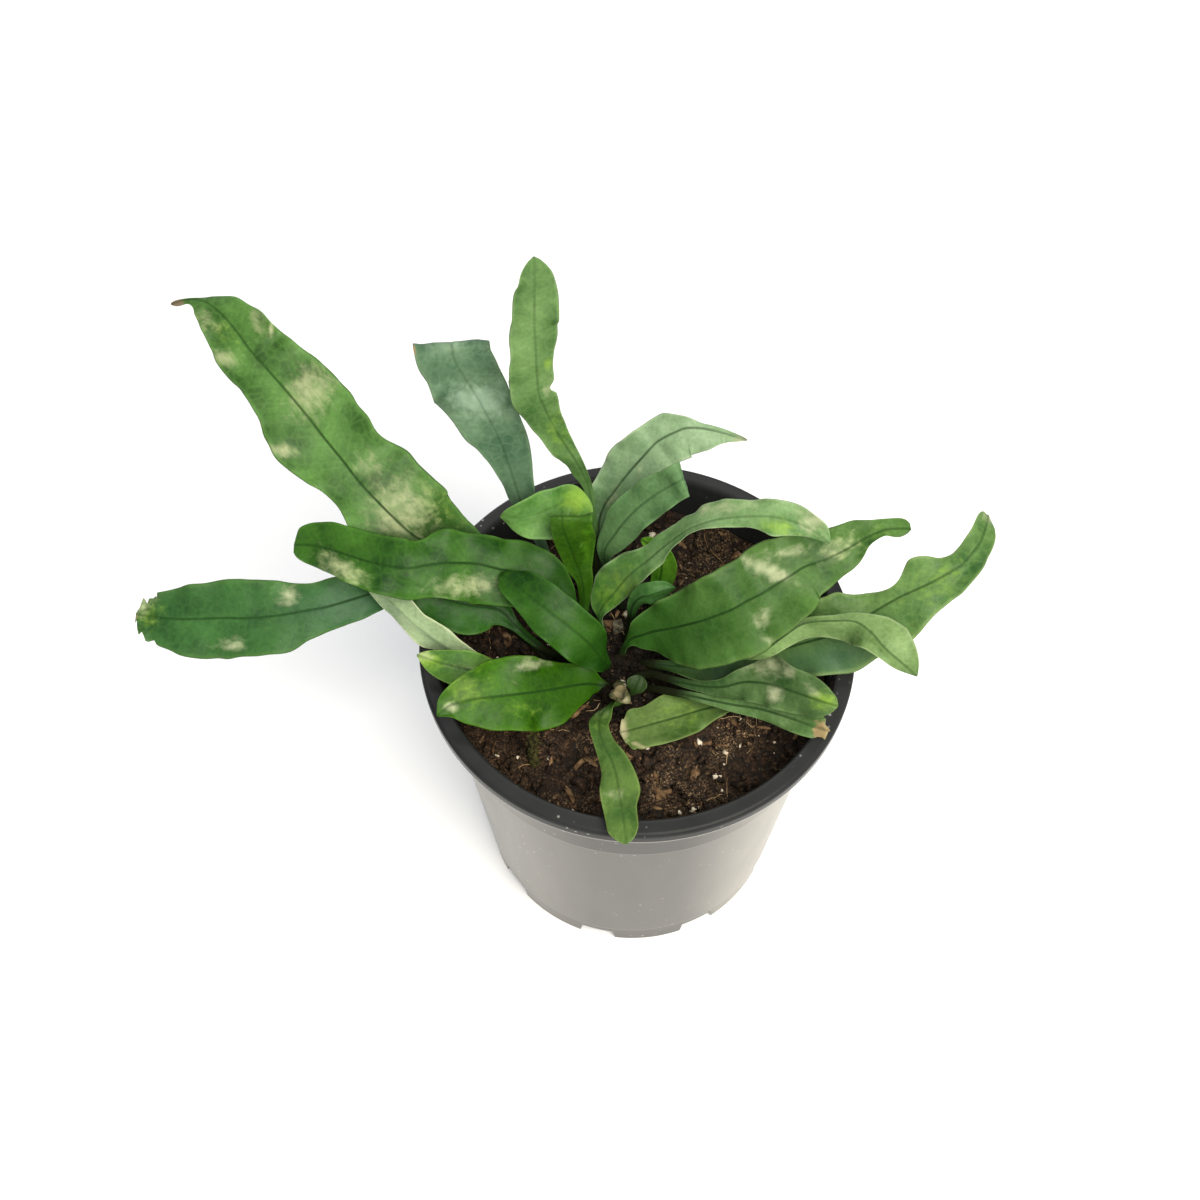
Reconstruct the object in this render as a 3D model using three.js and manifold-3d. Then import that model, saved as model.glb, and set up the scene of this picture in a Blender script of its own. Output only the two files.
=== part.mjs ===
// Potted kangaroo fern: a black nursery pot filled with peaty compost, a creeping rhizome
// on the compost, and one solid for each strap frond, rooted in its own hole.
// Millimetres, +Z up. The origin is the centre of the pot's underside, and -Y is the front.
import * as THREE from 'three';
import { mergeVertices } from 'three/addons/utils/BufferGeometryUtils.js';
import Module from 'manifold-3d';

const wasm = await Module();
wasm.setup();

const POT = {
  height: 118,
  rimRadius: 65,
  lipWidth: 5.2,
  skirtDrop: 5,
  wall: 1.3,
  shoulderDrop: 27, // the stacking shoulder below the rim
  shoulderRadius: 58.8,
  heelRadius: 50.8, // the tapered wall at the height of the floor
  footRadius: 50.2,
  floorHeight: 7, // underside of the floor above the ground
  dimpleRadius: 13, // the floor dips to the ground at its centre
  notches: 9, // in the foot ring, with a drain hole beside each
  notchWidth: 11,
  notchHeight: 5.8,
  notchTurn: 29, // degrees from the front to the first notch
  drainRadius: 3.4,
  drainCircle: 38,
  sides: 48,
};

const SOIL = {
  edgeDepth: 14.5, // below the rim at the wall
  mound: 2.6, // how much higher the middle is
  relief: 0.9,
  topRings: 9,
};

const GAP = 0.3; // running gap between neighbouring pieces
const HOLE_GROWTH = 0.4; // how much a hole is larger all round than what stands in it

// A stalk's hole follows the stalk up to its rise above the compost, 6-sided with this radius.
const STALK_HOLE = {
  inCompost: { rise: 2.5, radius: 1.89 },
  inRhizome: { rise: 8, radius: 1.79 },
  sides: 6,
};

const BLADE = {
  marginThickness: 0.8,
  ribThickness: 1.5,
  columns: [-1, -0.55, 0, 0.55, 1],
};

const STALK = {
  footDepth: 7, // of a stalk's foot below the compost
  halfWidth: 1.15,
  thickness: 2.1,
  bare: 10, // mm of round stalk above the foot
  flattening: 9, // mm over which a stalk flattens into its blade
};

const FROND_STEPS = 2; // of a frond's solid between two of its rows

const RHIZOME = {
  radius: 2.3,
  rise: 0.9, // of its axis above the compost
  sides: 6,
  // Centre lines over the compost, as [x, y].
  runs: [
    [[-9, 29], [-12, 22], [-15, 13], [-16, 5], [-15, -2], [-10, -8], [-8, -15], [-3, -21]],
    [[-13, -3], [-6, -3], [1, -5], [10, -9], [20, -11], [30, -13], [38, -12]],
    [[-15, 3], [-20, 0], [-24, -6], [-27, -12]],
  ],
};

// The stub of an old stalk, a tapered tube from its foot in the compost: centre line points as
// [x, y, height above the compost], and its radii there.
const STUB = {
  name: 'stalk_stub',
  points: [[-28.6, -37.2, -5], [-28.6, -37, 1], [-29, -35.4, 5], [-28.6, -34, 8.4], [-28.4, -33.4, 9.6]],
  radii: [1.5, 1.6, 1.3, 1.5, 0.7],
};

const CHUNK = { name: 'bark_chunk', x: -6, y: 9.4, size: 3.2, sunk: 0.9, turn: 14 };

// The reference photograph, 1200 by 1200 pixels, was taken from this point.
const SIGHT = {
  eye: new THREE.Vector3(0, -234.5, 495.5),
  target: new THREE.Vector3(-11.6, 11.9, 118),
  focalPixels: 1490.6,
  centrePixel: 600,
};

// A frond is a row of stations from its foot to its tip:
//   foot    where it stands in the compost, [x, y] in mm
//   seen    its midrib in the photograph, [across, down] in pixels
//   height  of those midrib points above the ground, in mm
//   left, right  half widths there in mm, looking from foot to tip with the top face up
//   turn    of the blade about its midrib in degrees, 0 facing the photograph's viewpoint
//   cup     of the margins out of the blade's plane in degrees, negative where they droop
//   waves   [how many, lift in mm, phase in turns]
//   tip     [rounded length in mm, bluntness]
//   bare, flattening  as in STALK, where they differ from it
//   perSpan  as FROND_STEPS, where it differs
//   facing  share of the length at which turn is counted from the viewpoint, 0.6 if it isn't given
//   nicks   [share of the length, side, depth in mm, reach in mm]
const FRONDS = [
  {
    name: 'frond_left_long',
    foot: [-21.5, 8.6],
    seen: [
      [548, 612], [502, 578], [460, 556], [416, 537], [396, 520], [378, 502], [360, 483],
      [343, 461], [325, 439], [308, 417], [288, 393], [267, 369], [250, 350], [237, 332],
      [217, 310], [202, 301], [190, 300], [171, 304],
    ],
    height: [111, 120, 128, 136, 141, 145, 149, 153, 157, 161, 165, 169, 172, 174, 176.5, 177, 176.5, 175],
    left: [1.2, 3, 7, 12, 13, 11.8, 9.4, 11.8, 14.2, 14.5, 11.2, 10, 10.2, 9.2, 6.8, 4.4, 1.6, 0.8],
    right: [1.2, 4, 10, 16, 16.6, 16.5, 16.4, 13.2, 14, 14.1, 13.2, 11.4, 10.1, 9, 6, 2, 1.2, 0.8],
    waves: [4.5, 1.8, 0.1],
    tip: [4, 2],
    perSpan: 1,
    green: 0x4a8a2e,
  },
  {
    name: 'frond_left_low',
    foot: [-23.7, -9],
    seen: [
      [538, 650], [519, 634], [480, 606], [440, 591], [400, 589], [370, 594], [347, 601],
      [326, 607], [304, 611], [281, 615], [252, 618], [220, 618], [190, 619], [165, 618],
      [150, 616], [136, 614],
    ],
    height: [
      110.8, 113, 117.6, 121.5, 124, 126, 127, 127.4, 127.4, 127, 126.4, 125.6, 124.4, 123,
      122, 121.4,
    ],
    left: [1.2, 1.2, 1.6, 2.4, 3.4, 6, 6.8, 7.1, 8.8, 11.2, 11.4, 12, 11.6, 8.6, 7, 5],
    right: [1.2, 1.2, 1.6, 2.4, 3, 3.2, 7.7, 7.8, 8.2, 10.4, 11.6, 11.1, 10.2, 8, 6.6, 5],
    waves: [4, 1.3, 0.3],
    tip: [3, 3],
    bare: 28,
    perSpan: 1,
    nicks: [[0.985, -1, 1.6, 1.2], [0.97, 1, 1.4, 1.4]],
    green: 0x2f6b34,
  },
  {
    name: 'frond_left_mid',
    foot: [-14.6, 0.5],
    seen: [
      [583, 625], [572, 603], [558, 589], [545, 582], [522, 574], [498, 569], [478, 564],
      [460, 563], [443, 563], [428, 565], [410, 568], [395, 567], [378, 564], [363, 560],
      [345, 554], [325, 548], [308, 545], [294, 545],
    ],
    height: [
      112, 119, 124, 127.5, 131, 134, 136, 138, 140, 141, 142, 142.4, 142.4, 142, 141.4,
      140, 138.6, 137,
    ],
    left: [1.2, 3, 7, 9.4, 10, 11.3, 11.9, 11.4, 10.7, 9.6, 9.4, 8.7, 8.3, 7.8, 7, 6.6, 5.4, 3.4],
    right: [1.2, 2, 4.6, 7.8, 9.8, 9, 8.5, 9.5, 9.8, 7.8, 8.1, 8.4, 8.6, 8.5, 8.2, 7.7, 6, 3.4],
    waves: [4.5, 1.6, 0.6],
    tip: [4, 2.2],
    perSpan: 1,
    green: 0x3f7f33,
  },
  {
    name: 'frond_left_pale',
    foot: [-16.2, -6.5],
    seen: [[555, 672], [510, 668], [468, 657], [440, 641], [416, 624], [395, 604], [375, 588], [360, 574]],
    height: [111.4, 114, 118, 123, 127.4, 131, 134, 136],
    left: [1.2, 2, 3.5, 4.5, 5, 5, 3.6, 2],
    right: [1.2, 2, 3.5, 4.5, 5, 5, 3.6, 2],
    turn: [90, 110, 130, 140, 145, 145, 140, 140],
    waves: [2, 0.8, 0],
    tip: [8, 2],
    perSpan: 1,
    green: 0xa8bf92,
  },
  {
    name: 'frond_left_inner',
    foot: [-21.3, -2.8],
    seen: [[548, 652], [529, 638], [514, 624], [499, 610], [469, 605], [446, 599], [420, 592], [394, 584]],
    height: [112.4, 117.2, 120.6, 123, 124.6, 126.5, 128.5, 129.5],
    left: [1.2, 1.2, 2, 6, 9, 8.4, 6, 3],
    right: [1.2, 1.2, 1.6, 3.4, 4.6, 4.6, 4, 2.6],
    waves: [3, 1, 0.2],
    tip: [9, 2],
    bare: 16,
    green: 0x37763a,
  },
  {
    name: 'frond_centre_dark',
    foot: [-8.3, -5.7],
    seen: [[604, 663], [595, 651], [584, 639], [565, 624], [549, 612], [529, 596], [501, 573]],
    height: [114, 121, 126.5, 131.5, 134, 135.5, 135],
    left: [2.6, 6.6, 7.8, 7.6, 7.2, 5.6, 3],
    right: [2.2, 5.2, 6.4, 7, 7.4, 6.8, 3],
    waves: [3, 1, 0.4],
    tip: [6, 2],
    bare: 9,
    flattening: 5,
    green: 0x33782f,
  },
  {
    name: 'frond_front_left',
    foot: [-6.6, -12.6],
    seen: [
      [597, 685], [586, 684], [565, 687], [542, 691], [519, 694], [492, 697], [469, 700],
      [449, 706], [437, 716],
    ],
    height: [110, 112.2, 115.8, 119.6, 123, 125.4, 127, 127, 126],
    left: [2.4, 5, 8.2, 11.6, 11, 9.6, 7.6, 4.4, 1],
    right: [2.4, 5.2, 7.6, 9.6, 11, 10.6, 7.8, 4.4, 1],
    waves: [3, 1.2, 0.1],
    tip: [4, 2],
    bare: 9,
    flattening: 5,
    perSpan: 1,
    green: 0x5a9a22,
  },
  {
    name: 'frond_front_left_back',
    foot: [-13.2, -15.7],
    seen: [[573, 692], [550, 687], [530, 683], [500, 677], [470, 670], [441, 663], [417, 655]],
    height: [109.6, 112.6, 115.6, 119.8, 123.4, 125, 125.6],
    left: [1.4, 2, 3, 4, 5.6, 4.6, 1.2],
    right: [1.4, 2, 3, 4, 5.6, 4, 1.2],
    waves: [2.5, 1, 0.5],
    tip: [4, 2],
    perSpan: 1,
    green: 0x7fae3a,
  },
  {
    name: 'frond_front_small',
    foot: [-5.6, -17.4],
    seen: [
      [619, 703], [613, 704], [606, 709], [601, 718], [599, 728], [603, 743], [614, 767], [619, 791],
      [622, 812], [625, 831], [626, 844],
    ],
    height: [108.6, 111.6, 113.8, 115.8, 117.4, 119, 120.4, 121.2, 121.8, 122, 121.5],
    left: [1.3, 1.6, 2.4, 3, 3, 3.2, 4.8, 6, 4.4, 4, 3],
    right: [1.3, 1.6, 2.4, 3, 2.6, 2.6, 4, 5.2, 5, 4.8, 3.4],
    waves: [3, 0.8, 0.5],
    tip: [5, 2],
    bare: 9,
    flattening: 5,
    perSpan: 1,
    green: 0x3f8a34,
  },
  {
    name: 'frond_front_right_dry',
    foot: [34.5, -12],
    seen: [[735, 703], [721, 706], [700, 711], [677, 718], [655, 724], [637, 729], [620, 733]],
    height: [109, 108.8, 108.2, 108.4, 108.4, 108.2, 108],
    left: [2, 4, 5.6, 7.6, 8.6, 7.4, 5.6],
    right: [2, 4, 6.8, 8, 7.4, 6.4, 5],
    turn: 30,
    waves: [2.5, 0.6, 0.2],
    tip: [4, 3],
    perSpan: 1,
    bare: 9,
    flattening: 5,
    green: 0x5f8d45,
  },
  {
    name: 'frond_right_low',
    foot: [-1.3, -8.5],
    seen: [
      [648, 674], [662, 677], [693, 685], [722, 687], [745, 682], [770, 684], [795, 692],
      [818, 700], [838, 706],
    ],
    height: [109.5, 112, 115.6, 118.6, 121.4, 124.6, 127.8, 130.4, 131.4],
    left: [1.2, 1.2, 1.4, 2.4, 4.4, 8.5, 7, 5.4, 3],
    right: [1.2, 1.2, 1.4, 3.2, 5.6, 6.5, 6.2, 5.3, 3],
    waves: [3, 1, 0.7],
    tip: [6, 2.2],
    bare: 20,
    green: 0x3d7a36,
  },
  {
    name: 'frond_right_dry_tip',
    foot: [3.5, -12],
    seen: [[662, 690], [682, 694], [705, 699], [735, 705], [760, 709], [790, 718], [812, 726], [828, 733]],
    height: [111, 113.2, 114, 114.8, 116.4, 118.6, 120.6, 121],
    left: [1.2, 1.2, 1.5, 2.2, 2.8, 3.4, 4, 3.4],
    right: [1.2, 1.2, 1.5, 2.2, 3, 3.6, 3.6, 2.6],
    waves: [3, 0.6, 0.2],
    tip: [3, 3],
    bare: 18,
    green: 0x5a9440,
  },
  {
    name: 'frond_right_big',
    foot: [-4.9, -1.4],
    seen: [
      [624, 649], [631, 639], [642, 635], [655, 631], [672, 628], [689, 624], [704, 620],
      [718, 615], [733, 609], [747, 601], [761, 594], [775, 585], [790, 576], [804, 567],
      [818, 562], [833, 556], [847, 549], [862, 540], [874, 534], [885, 530], [898, 529], [911, 529],
    ],
    height: [
      110, 114.5, 118, 121.5, 126, 131, 135, 138, 141, 143, 145, 146, 147, 148, 149, 149.4,
      149.6, 149.6, 149.4, 149, 148, 146.5,
    ],
    left: [
      1.4, 2, 4.8, 7.1, 9, 10.2, 11.1, 11.6, 12, 11.9, 12.4, 12.6, 12, 10.3, 9.1, 8.1, 7.4,
      6.4, 4.4, 3.2, 2.8, 2.2,
    ],
    right: [
      1.4, 2, 5, 8.2, 11, 13.1, 13.9, 14.5, 14.7, 14.4, 13.3, 12.7, 12.1, 10.5, 8.5, 6.8,
      5.6, 2.6, 1.8, 1.8, 2.2, 1.8,
    ],
    waves: [4, 1.4, 0.35],
    tip: [4, 2.2],
    bare: 9,
    flattening: 6,
    perSpan: 1,
    green: 0x45863a,
  },
  {
    name: 'frond_right_far',
    foot: [1.5, -3.3],
    seen: [
      [652, 664], [674, 666], [705, 666], [728, 662], [750, 657], [775, 651], [800, 644],
      [822, 638], [840, 632], [858, 623], [874, 612], [889, 603], [904, 595], [922, 587],
      [938, 579], [950, 572], [962, 564], [972, 553], [980, 542], [985, 528], [988, 515],
    ],
    height: [
      110.2, 111.8, 113.4, 115.2, 117, 120, 123.4, 126.4, 129, 131.5, 134, 136.5, 139, 141.6,
      144, 145.6, 147, 148, 148.6, 148.8, 148,
    ],
    left: [
      1.4, 1.6, 2.2, 3.6, 5.4, 8, 9.4, 10.6, 11.4, 10.4, 6.4, 4, 4.3, 8.6, 7.7, 4.9, 4.1,
      3.9, 4.2, 4, 2.6,
    ],
    right: [
      1.4, 2, 5, 6.4, 7.6, 8.6, 9.6, 11, 12.2, 11.6, 12.2, 12.5, 11.5, 8.9, 7.4, 6.9, 5.5,
      4.5, 4, 3.3, 2.2,
    ],
    waves: [4.5, 1.4, 0.8],
    tip: [4, 2.2],
    bare: 12,
    perSpan: 1,
    green: 0x3f7d3c,
  },
  {
    name: 'frond_right_curled',
    foot: [5.5, 3],
    seen: [
      [668, 649], [700, 650], [735, 655], [760, 653], [782, 638], [804, 624], [833, 621],
      [856, 622], [872, 633], [885, 648], [900, 661], [917, 676],
    ],
    height: [110, 117, 125.6, 132.8, 137, 139, 141.6, 142.6, 142.6, 141.4, 139, 135],
    left: [1.2, 1.2, 1.4, 2, 2.6, 2.6, 2.4, 3.4, 6.4, 8, 6, 1],
    right: [1.2, 1.2, 1.4, 3, 5, 6.6, 7.4, 8, 5.6, 3.2, 2.8, 1],
    cup: [0, 0, -10, -40, -50, -50, -45, -30, -14, -10, -8, 0],
    waves: [3, 0.8, 0.2],
    tip: [4, 2],
    perSpan: 1,
    bare: 32,
    green: 0x6f9f52,
  },
  {
    name: 'frond_back_right_arch',
    foot: [-10.7, 8.6],
    seen: [
      [600, 617], [602, 608], [611, 597], [621, 585], [632, 573], [648, 561], [668, 545],
      [690, 530], [715, 521], [745, 517], [775, 517], [800, 524], [817, 533], [830, 543],
    ],
    height: [111, 114, 119, 124, 130, 136, 144, 151, 156, 160, 162, 161.4, 160, 158],
    left: [1.4, 4, 7.6, 7.6, 6.8, 4.6, 5, 6.4, 5.6, 5, 5, 4.8, 3.8, 1.4],
    right: [1.4, 2.4, 3.2, 4, 4.4, 4, 3, 2.8, 2.8, 2.8, 5, 3.6, 2, 1],
    turn: [0, 0, 0, 0, 0, -15, -45, -55, -45, -25, -5, 0, 0, 0],
    waves: [4, 0.8, 0.4],
    tip: [4, 2],
    perSpan: 1,
    bare: 8,
    flattening: 5,
    green: 0x6a9d56,
  },
  {
    name: 'frond_back_right_tall',
    foot: [-9.8, 26],
    seen: [
      [603, 562], [599, 528], [601, 515], [606, 503], [614, 492], [623, 480], [632, 469],
      [641, 459], [649, 450], [657, 442], [665, 437], [673, 433], [686, 428], [700, 428],
      [712, 430], [724, 433], [747, 440],
    ],
    height: [
      112, 124, 128, 132, 136, 140, 143, 146, 149, 151, 153, 154.4, 156, 156.4, 156, 155, 152,
    ],
    left: [1.4, 3.4, 5, 6.3, 7.1, 7.9, 8.6, 8.5, 7.6, 6.5, 6.7, 6.7, 3.8, 1.6, 1.3, 1.2, 0.6],
    right: [1.4, 3.4, 5, 6.4, 7.4, 8, 8, 8.2, 8.6, 8.6, 8.6, 8.8, 8.9, 7.6, 5.6, 3.2, 0.6],
    waves: [3, 1, 0.2],
    tip: [3, 2],
    perSpan: 1,
    green: 0x6d9a66,
  },
  {
    name: 'frond_back_right_folded',
    foot: [-5.4, 17.5],
    seen: [
      [614, 582], [605, 553], [617, 532], [635, 511], [655, 495], [671, 485.5],
      [677.5, 482], [682, 479.8], [681, 480.8], [673, 486], [660, 495],
    ],
    height: [113, 124, 133, 143, 151, 156, 159.2, 159.8, 156, 149.6, 142],
    left: [1.4, 3, 5.4, 6.2, 5.8, 5.2, 5.2, 5.2, 5.2, 4.4, 1.4],
    right: [1.4, 3, 5.5, 6, 6, 5.4, 5.2, 5.2, 5.2, 4.4, 1.4],
    waves: [2.5, 0.4, 0.2],
    tip: [4, 2],
    facing: 0.6,
    perSpan: 1,
    green: 0x5f9256,
  },
  {
    name: 'frond_back_tall',
    foot: [-12.2, 20],
    seen: [
      [597, 568], [594, 528], [589, 488], [582, 472], [576, 461], [569, 450], [563, 441],
      [557, 432], [552, 422], [547, 413], [543, 404], [539, 395], [537, 378], [536, 362],
      [535, 342], [534, 322], [534, 306], [534, 290], [534, 275], [534, 257],
    ],
    height: [
      115, 128, 142, 148, 153, 157, 161, 165, 169, 173, 177, 181, 187.4, 194, 201, 208, 213.6,
      219, 224, 229,
    ],
    left: [1.2, 1.2, 1.8, 3, 3.6, 4.2, 4.6, 5, 6, 6.7, 7.2, 7.8, 8.1, 7.7, 7, 6.3, 5.8, 4.9, 4, 2.6],
    right: [1.2, 1.2, 1.2, 1.7, 2, 2.4, 2.7, 3.1, 3.4, 4, 4.6, 5, 4.8, 4.6, 6, 6.4, 6.5, 6.2, 4.9, 2.6],
    waves: [4, 0.8, 0.2],
    tip: [5, 2],
    bare: 26,
    perSpan: 1,
    nicks: [[0.665, 1, 1.6, 2]],
    green: 0x5a9a30,
  },
  {
    name: 'frond_back_bluish',
    foot: [-20, 16.5],
    seen: [
      [560, 582], [545, 552], [531, 522], [520, 499], [514, 481], [506, 456], [497, 434],
      [486, 413], [471, 387], [460, 370], [454, 359], [452, 349], [451.5, 344], [451.5, 345],
      [453, 353], [458, 370], [465, 386],
    ],
    height: [
      112, 122, 131, 140, 146.4, 155.6, 163, 170, 180, 187, 190.4, 193, 193, 191, 187, 179.4, 172,
    ],
    left: [1.2, 1.4, 1.8, 3.1, 3.6, 5.2, 8, 9.4, 11.2, 9.8, 10, 10.6, 10.8, 10.6, 9.6, 7, 2.6],
    right: [1.2, 1.4, 2.4, 4.4, 5.7, 7.4, 8.5, 8.5, 9.8, 10.2, 10.4, 10.4, 10.4, 10.4, 9.4, 7, 2.6],
    waves: [3.5, 1, 0.4],
    tip: [6, 2],
    facing: 0.7,
    perSpan: 1,
    bare: 18,
    green: 0x4d7f62,
  },
  {
    name: 'frond_crown_arch',
    foot: [-14.6, 12.6],
    seen: [
      [590, 590], [587, 560], [583, 530], [580, 510], [569, 501], [552, 508], [530, 516],
      [512, 518], [500, 517],
    ],
    height: [113, 123, 131.6, 138, 141.6, 143.4, 143.8, 142.8, 141.4],
    left: [1.4, 2.4, 3, 3.4, 5, 8.4, 7.4, 4, 1],
    right: [1.4, 1.8, 2.4, 4.4, 5, 5.8, 6, 3.6, 1],
    waves: [2.5, 0.8, 0.4],
    tip: [4, 2],
    green: 0x74a93c,
  },
  {
    name: 'frond_crown_upright',
    foot: [-16.2, 5.8],
    seen: [
      [584, 608], [582, 580], [577, 566], [571, 549], [565, 535], [562, 524], [562, 518],
      [562, 517], [562, 518.5], [562.5, 526], [566, 540],
    ],
    height: [113, 124, 129, 137, 144, 149, 151, 150, 148.4, 144, 137],
    left: [1.4, 2, 3.2, 4, 3.6, 3.2, 3.2, 3.2, 3.2, 3, 1.2],
    right: [1.4, 3.4, 4.8, 7.6, 8.6, 8.8, 9, 9, 9, 7, 1.2],
    waves: [2, 0.4, 0.2],
    tip: [4, 2],
    facing: 0.6,
    perSpan: 1,
    green: 0x5f9c22,
  },
  {
    name: 'frond_crown_curl',
    foot: [-3.1, 5],
    seen: [[629, 633], [631, 619], [633, 606], [641, 597], [652, 594], [664, 590], [676, 588]],
    height: [109, 114, 121, 128, 131, 132, 132],
    left: [1.3, 1.3, 1.8, 3.2, 3.8, 3, 1],
    right: [1.3, 1.3, 1.8, 3, 3.2, 2.6, 1],
    cup: [0, 0, -5, -12, -15, -12, -5],
    waves: [2, 0.5, 0.2],
    tip: [3, 2],
    bare: 16,
    flattening: 6,
    green: 0x4b8560,
  },
  {
    name: 'frond_crown_small',
    foot: [3.5, 16.5],
    seen: [[651, 604], [657, 589], [661, 574], [661, 559], [654, 547], [641, 539]],
    height: [110, 116, 121, 126, 129, 130],
    left: [1.4, 2.4, 3, 3, 2.6, 1.4],
    right: [1.4, 3.6, 4.6, 4.6, 3.4, 1.6],
    waves: [2, 0.5, 0.3],
    tip: [4, 2],
    green: 0x6aa62c,
  },
  {
    name: 'round_leaf',
    foot: [-1.9, -14.5],
    seen: [[633, 692], [635, 688], [638, 681], [640, 675]],
    height: [109, 110.5, 112, 113],
    left: [1, 2.6, 3.2, 2.4],
    right: [1, 2.6, 3.2, 2.4],
    waves: [1, 0.2, 0],
    tip: [3, 2],
    bare: 9,
    flattening: 3,
    green: 0x4d8a3c,
  },
  {
    name: 'dead_scrap',
    foot: [-5, -10.4],
    seen: [[621, 683], [617, 690], [620, 695], [626, 699], [630, 703]],
    height: [110, 114, 117, 117.6, 116.6],
    left: [1.2, 2.6, 2.8, 2, 0.8],
    right: [1.2, 2.4, 2.6, 1.8, 0.8],
    waves: [2, 0.6, 0],
    tip: [2, 2],
    bare: 7,
    flattening: 4,
    green: 0xd8c9a4,
  },
];

const up = new THREE.Vector3(0, 0, 1);

// The point at a given height on the line of sight through a pixel of the photograph.
function sighted([across, down], height) {
  const forward = SIGHT.target.clone().sub(SIGHT.eye).normalize();
  const right = forward.clone().cross(up).normalize();
  const above = right.clone().cross(forward);
  const ray = forward
    .clone()
    .addScaledVector(right, (across - SIGHT.centrePixel) / SIGHT.focalPixels)
    .addScaledVector(above, (SIGHT.centrePixel - down) / SIGHT.focalPixels);
  return SIGHT.eye.clone().addScaledVector(ray, (height - SIGHT.eye.z) / ray.z);
}

const smooth = (value) => THREE.MathUtils.smoothstep(value, 0, 1);
const listed = (value, count) => (Array.isArray(value) ? value : Array(count).fill(value));

// The compost's surface, lumpy and a little higher in the middle.
function soilHeight(x, y) {
  const inner = POT.shoulderRadius;
  const fall = (x * x + y * y) / (inner * inner);
  const lumps =
    Math.sin(0.31 * x + 1.2) * Math.cos(0.27 * y - 0.4) +
    0.6 * Math.sin(0.57 * x - 0.33 * y + 2) +
    0.4 * Math.cos(0.21 * x + 0.71 * y);
  return POT.height - SOIL.edgeDepth + SOIL.mound * (1 - fall) + (SOIL.relief * lumps) / 2;
}

// Rows of numbers made denser along a centripetal Catmull-Rom curve through them.
function refine(rows, perSpan) {
  const last = rows.length - 1;
  const beyond = (end, inner) => rows[end].map((value, k) => 2 * value - rows[inner][k]);
  const padded = [beyond(0, 1), ...rows, beyond(last, last - 1)];
  const apart = (a, b) => Math.sqrt(Math.hypot(a[0] - b[0], a[1] - b[1], a[2] - b[2]));
  const dense = [];
  for (let i = 1; i <= last; i++) {
    const [a, b, c, d] = padded.slice(i - 1, i + 3);
    const [ab, bc, cd] = [apart(a, b), apart(b, c), apart(c, d)];
    for (let j = 0; j < perSpan; j++) {
      const t = j / perSpan;
      dense.push(
        b.map((start, k) => {
          const slopeB = bc * ((b[k] - a[k]) / ab - (c[k] - a[k]) / (ab + bc) + (c[k] - b[k]) / bc);
          const slopeC = bc * ((c[k] - b[k]) / bc - (d[k] - b[k]) / (bc + cd) + (d[k] - c[k]) / cd);
          return (
            start +
            slopeB * t +
            (3 * (c[k] - b[k]) - 2 * slopeB - slopeC) * t ** 2 +
            (2 * (b[k] - c[k]) + slopeB + slopeC) * t ** 3
          );
        }),
      );
    }
  }
  dense.push(rows[last]);
  return dense;
}

function tangentsOf(points) {
  return points.map((_, i) => {
    const next = points[Math.min(i + 1, points.length - 1)];
    const previous = points[Math.max(i - 1, 0)];
    return next.clone().sub(previous).normalize();
  });
}

// Normals that turn as little as possible along a line of points (double reflection).
function steadyNormals(points, tangents) {
  const lying = Math.abs(tangents[0].z) < 0.9 ? up.clone() : new THREE.Vector3(0, -1, 0);
  const normals = [lying.addScaledVector(tangents[0], -lying.dot(tangents[0])).normalize()];
  for (let i = 0; i < points.length - 1; i++) {
    const chord = points[i + 1].clone().sub(points[i]);
    const share = -2 / chord.lengthSq();
    const normal = normals[i].clone().addScaledVector(chord, share * chord.dot(normals[i]));
    const tangent = tangents[i].clone().addScaledVector(chord, share * chord.dot(tangents[i]));
    const change = tangents[i + 1].clone().sub(tangent);
    const size = change.lengthSq();
    if (size > 1e-12) normal.addScaledVector(change, (-2 / size) * change.dot(normal));
    normals.push(normal.normalize());
  }
  return normals;
}

// A frond's stations: centre, blade axes, half widths and place along its length.
function stationsOf(frond) {
  const count = frond.seen.length;
  const turn = listed(frond.turn ?? 0, count);
  const cup = listed(frond.cup ?? 6, count);
  const rows = frond.seen.map((pixel, i) => [
    ...sighted(pixel, frond.height[i]).toArray(),
    frond.left[i],
    frond.right[i],
    turn[i],
    cup[i],
  ]);
  const [x, y] = frond.foot;
  const surface = soilHeight(x, y);
  const stalk = [STALK.halfWidth, STALK.halfWidth, turn[0], 0];
  const upright = [-STALK.footDepth, -1, 1];
  rows.unshift(...upright.map((rise) => [x, y, surface + rise, ...stalk]));
  const dense = refine(rows, frond.perSpan ?? FROND_STEPS);
  const points = dense.map((row) => new THREE.Vector3(...row));
  const tangents = tangentsOf(points);
  const normals = steadyNormals(points, tangents);
  const middle = Math.round(dense.length * (frond.facing ?? 0.6));
  const eyeward = SIGHT.eye.clone().sub(points[middle]).normalize();
  const side = tangents[middle].clone().cross(normals[middle]);
  const offset = Math.atan2(eyeward.dot(side), eyeward.dot(normals[middle]));
  let along = 0;
  return dense.map(([, , , left, right, degrees, cupped], i) => {
    if (i) along += points[i].distanceTo(points[i - 1]);
    const angle = offset + THREE.MathUtils.degToRad(degrees);
    const across = tangents[i].clone().cross(normals[i]);
    const normal = normals[i].clone().multiplyScalar(Math.cos(angle));
    normal.addScaledVector(across, Math.sin(angle));
    const rightward = tangents[i].clone().cross(normal);
    return { centre: points[i], normal, rightward, left, right, cupped, along };
  });
}

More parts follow.
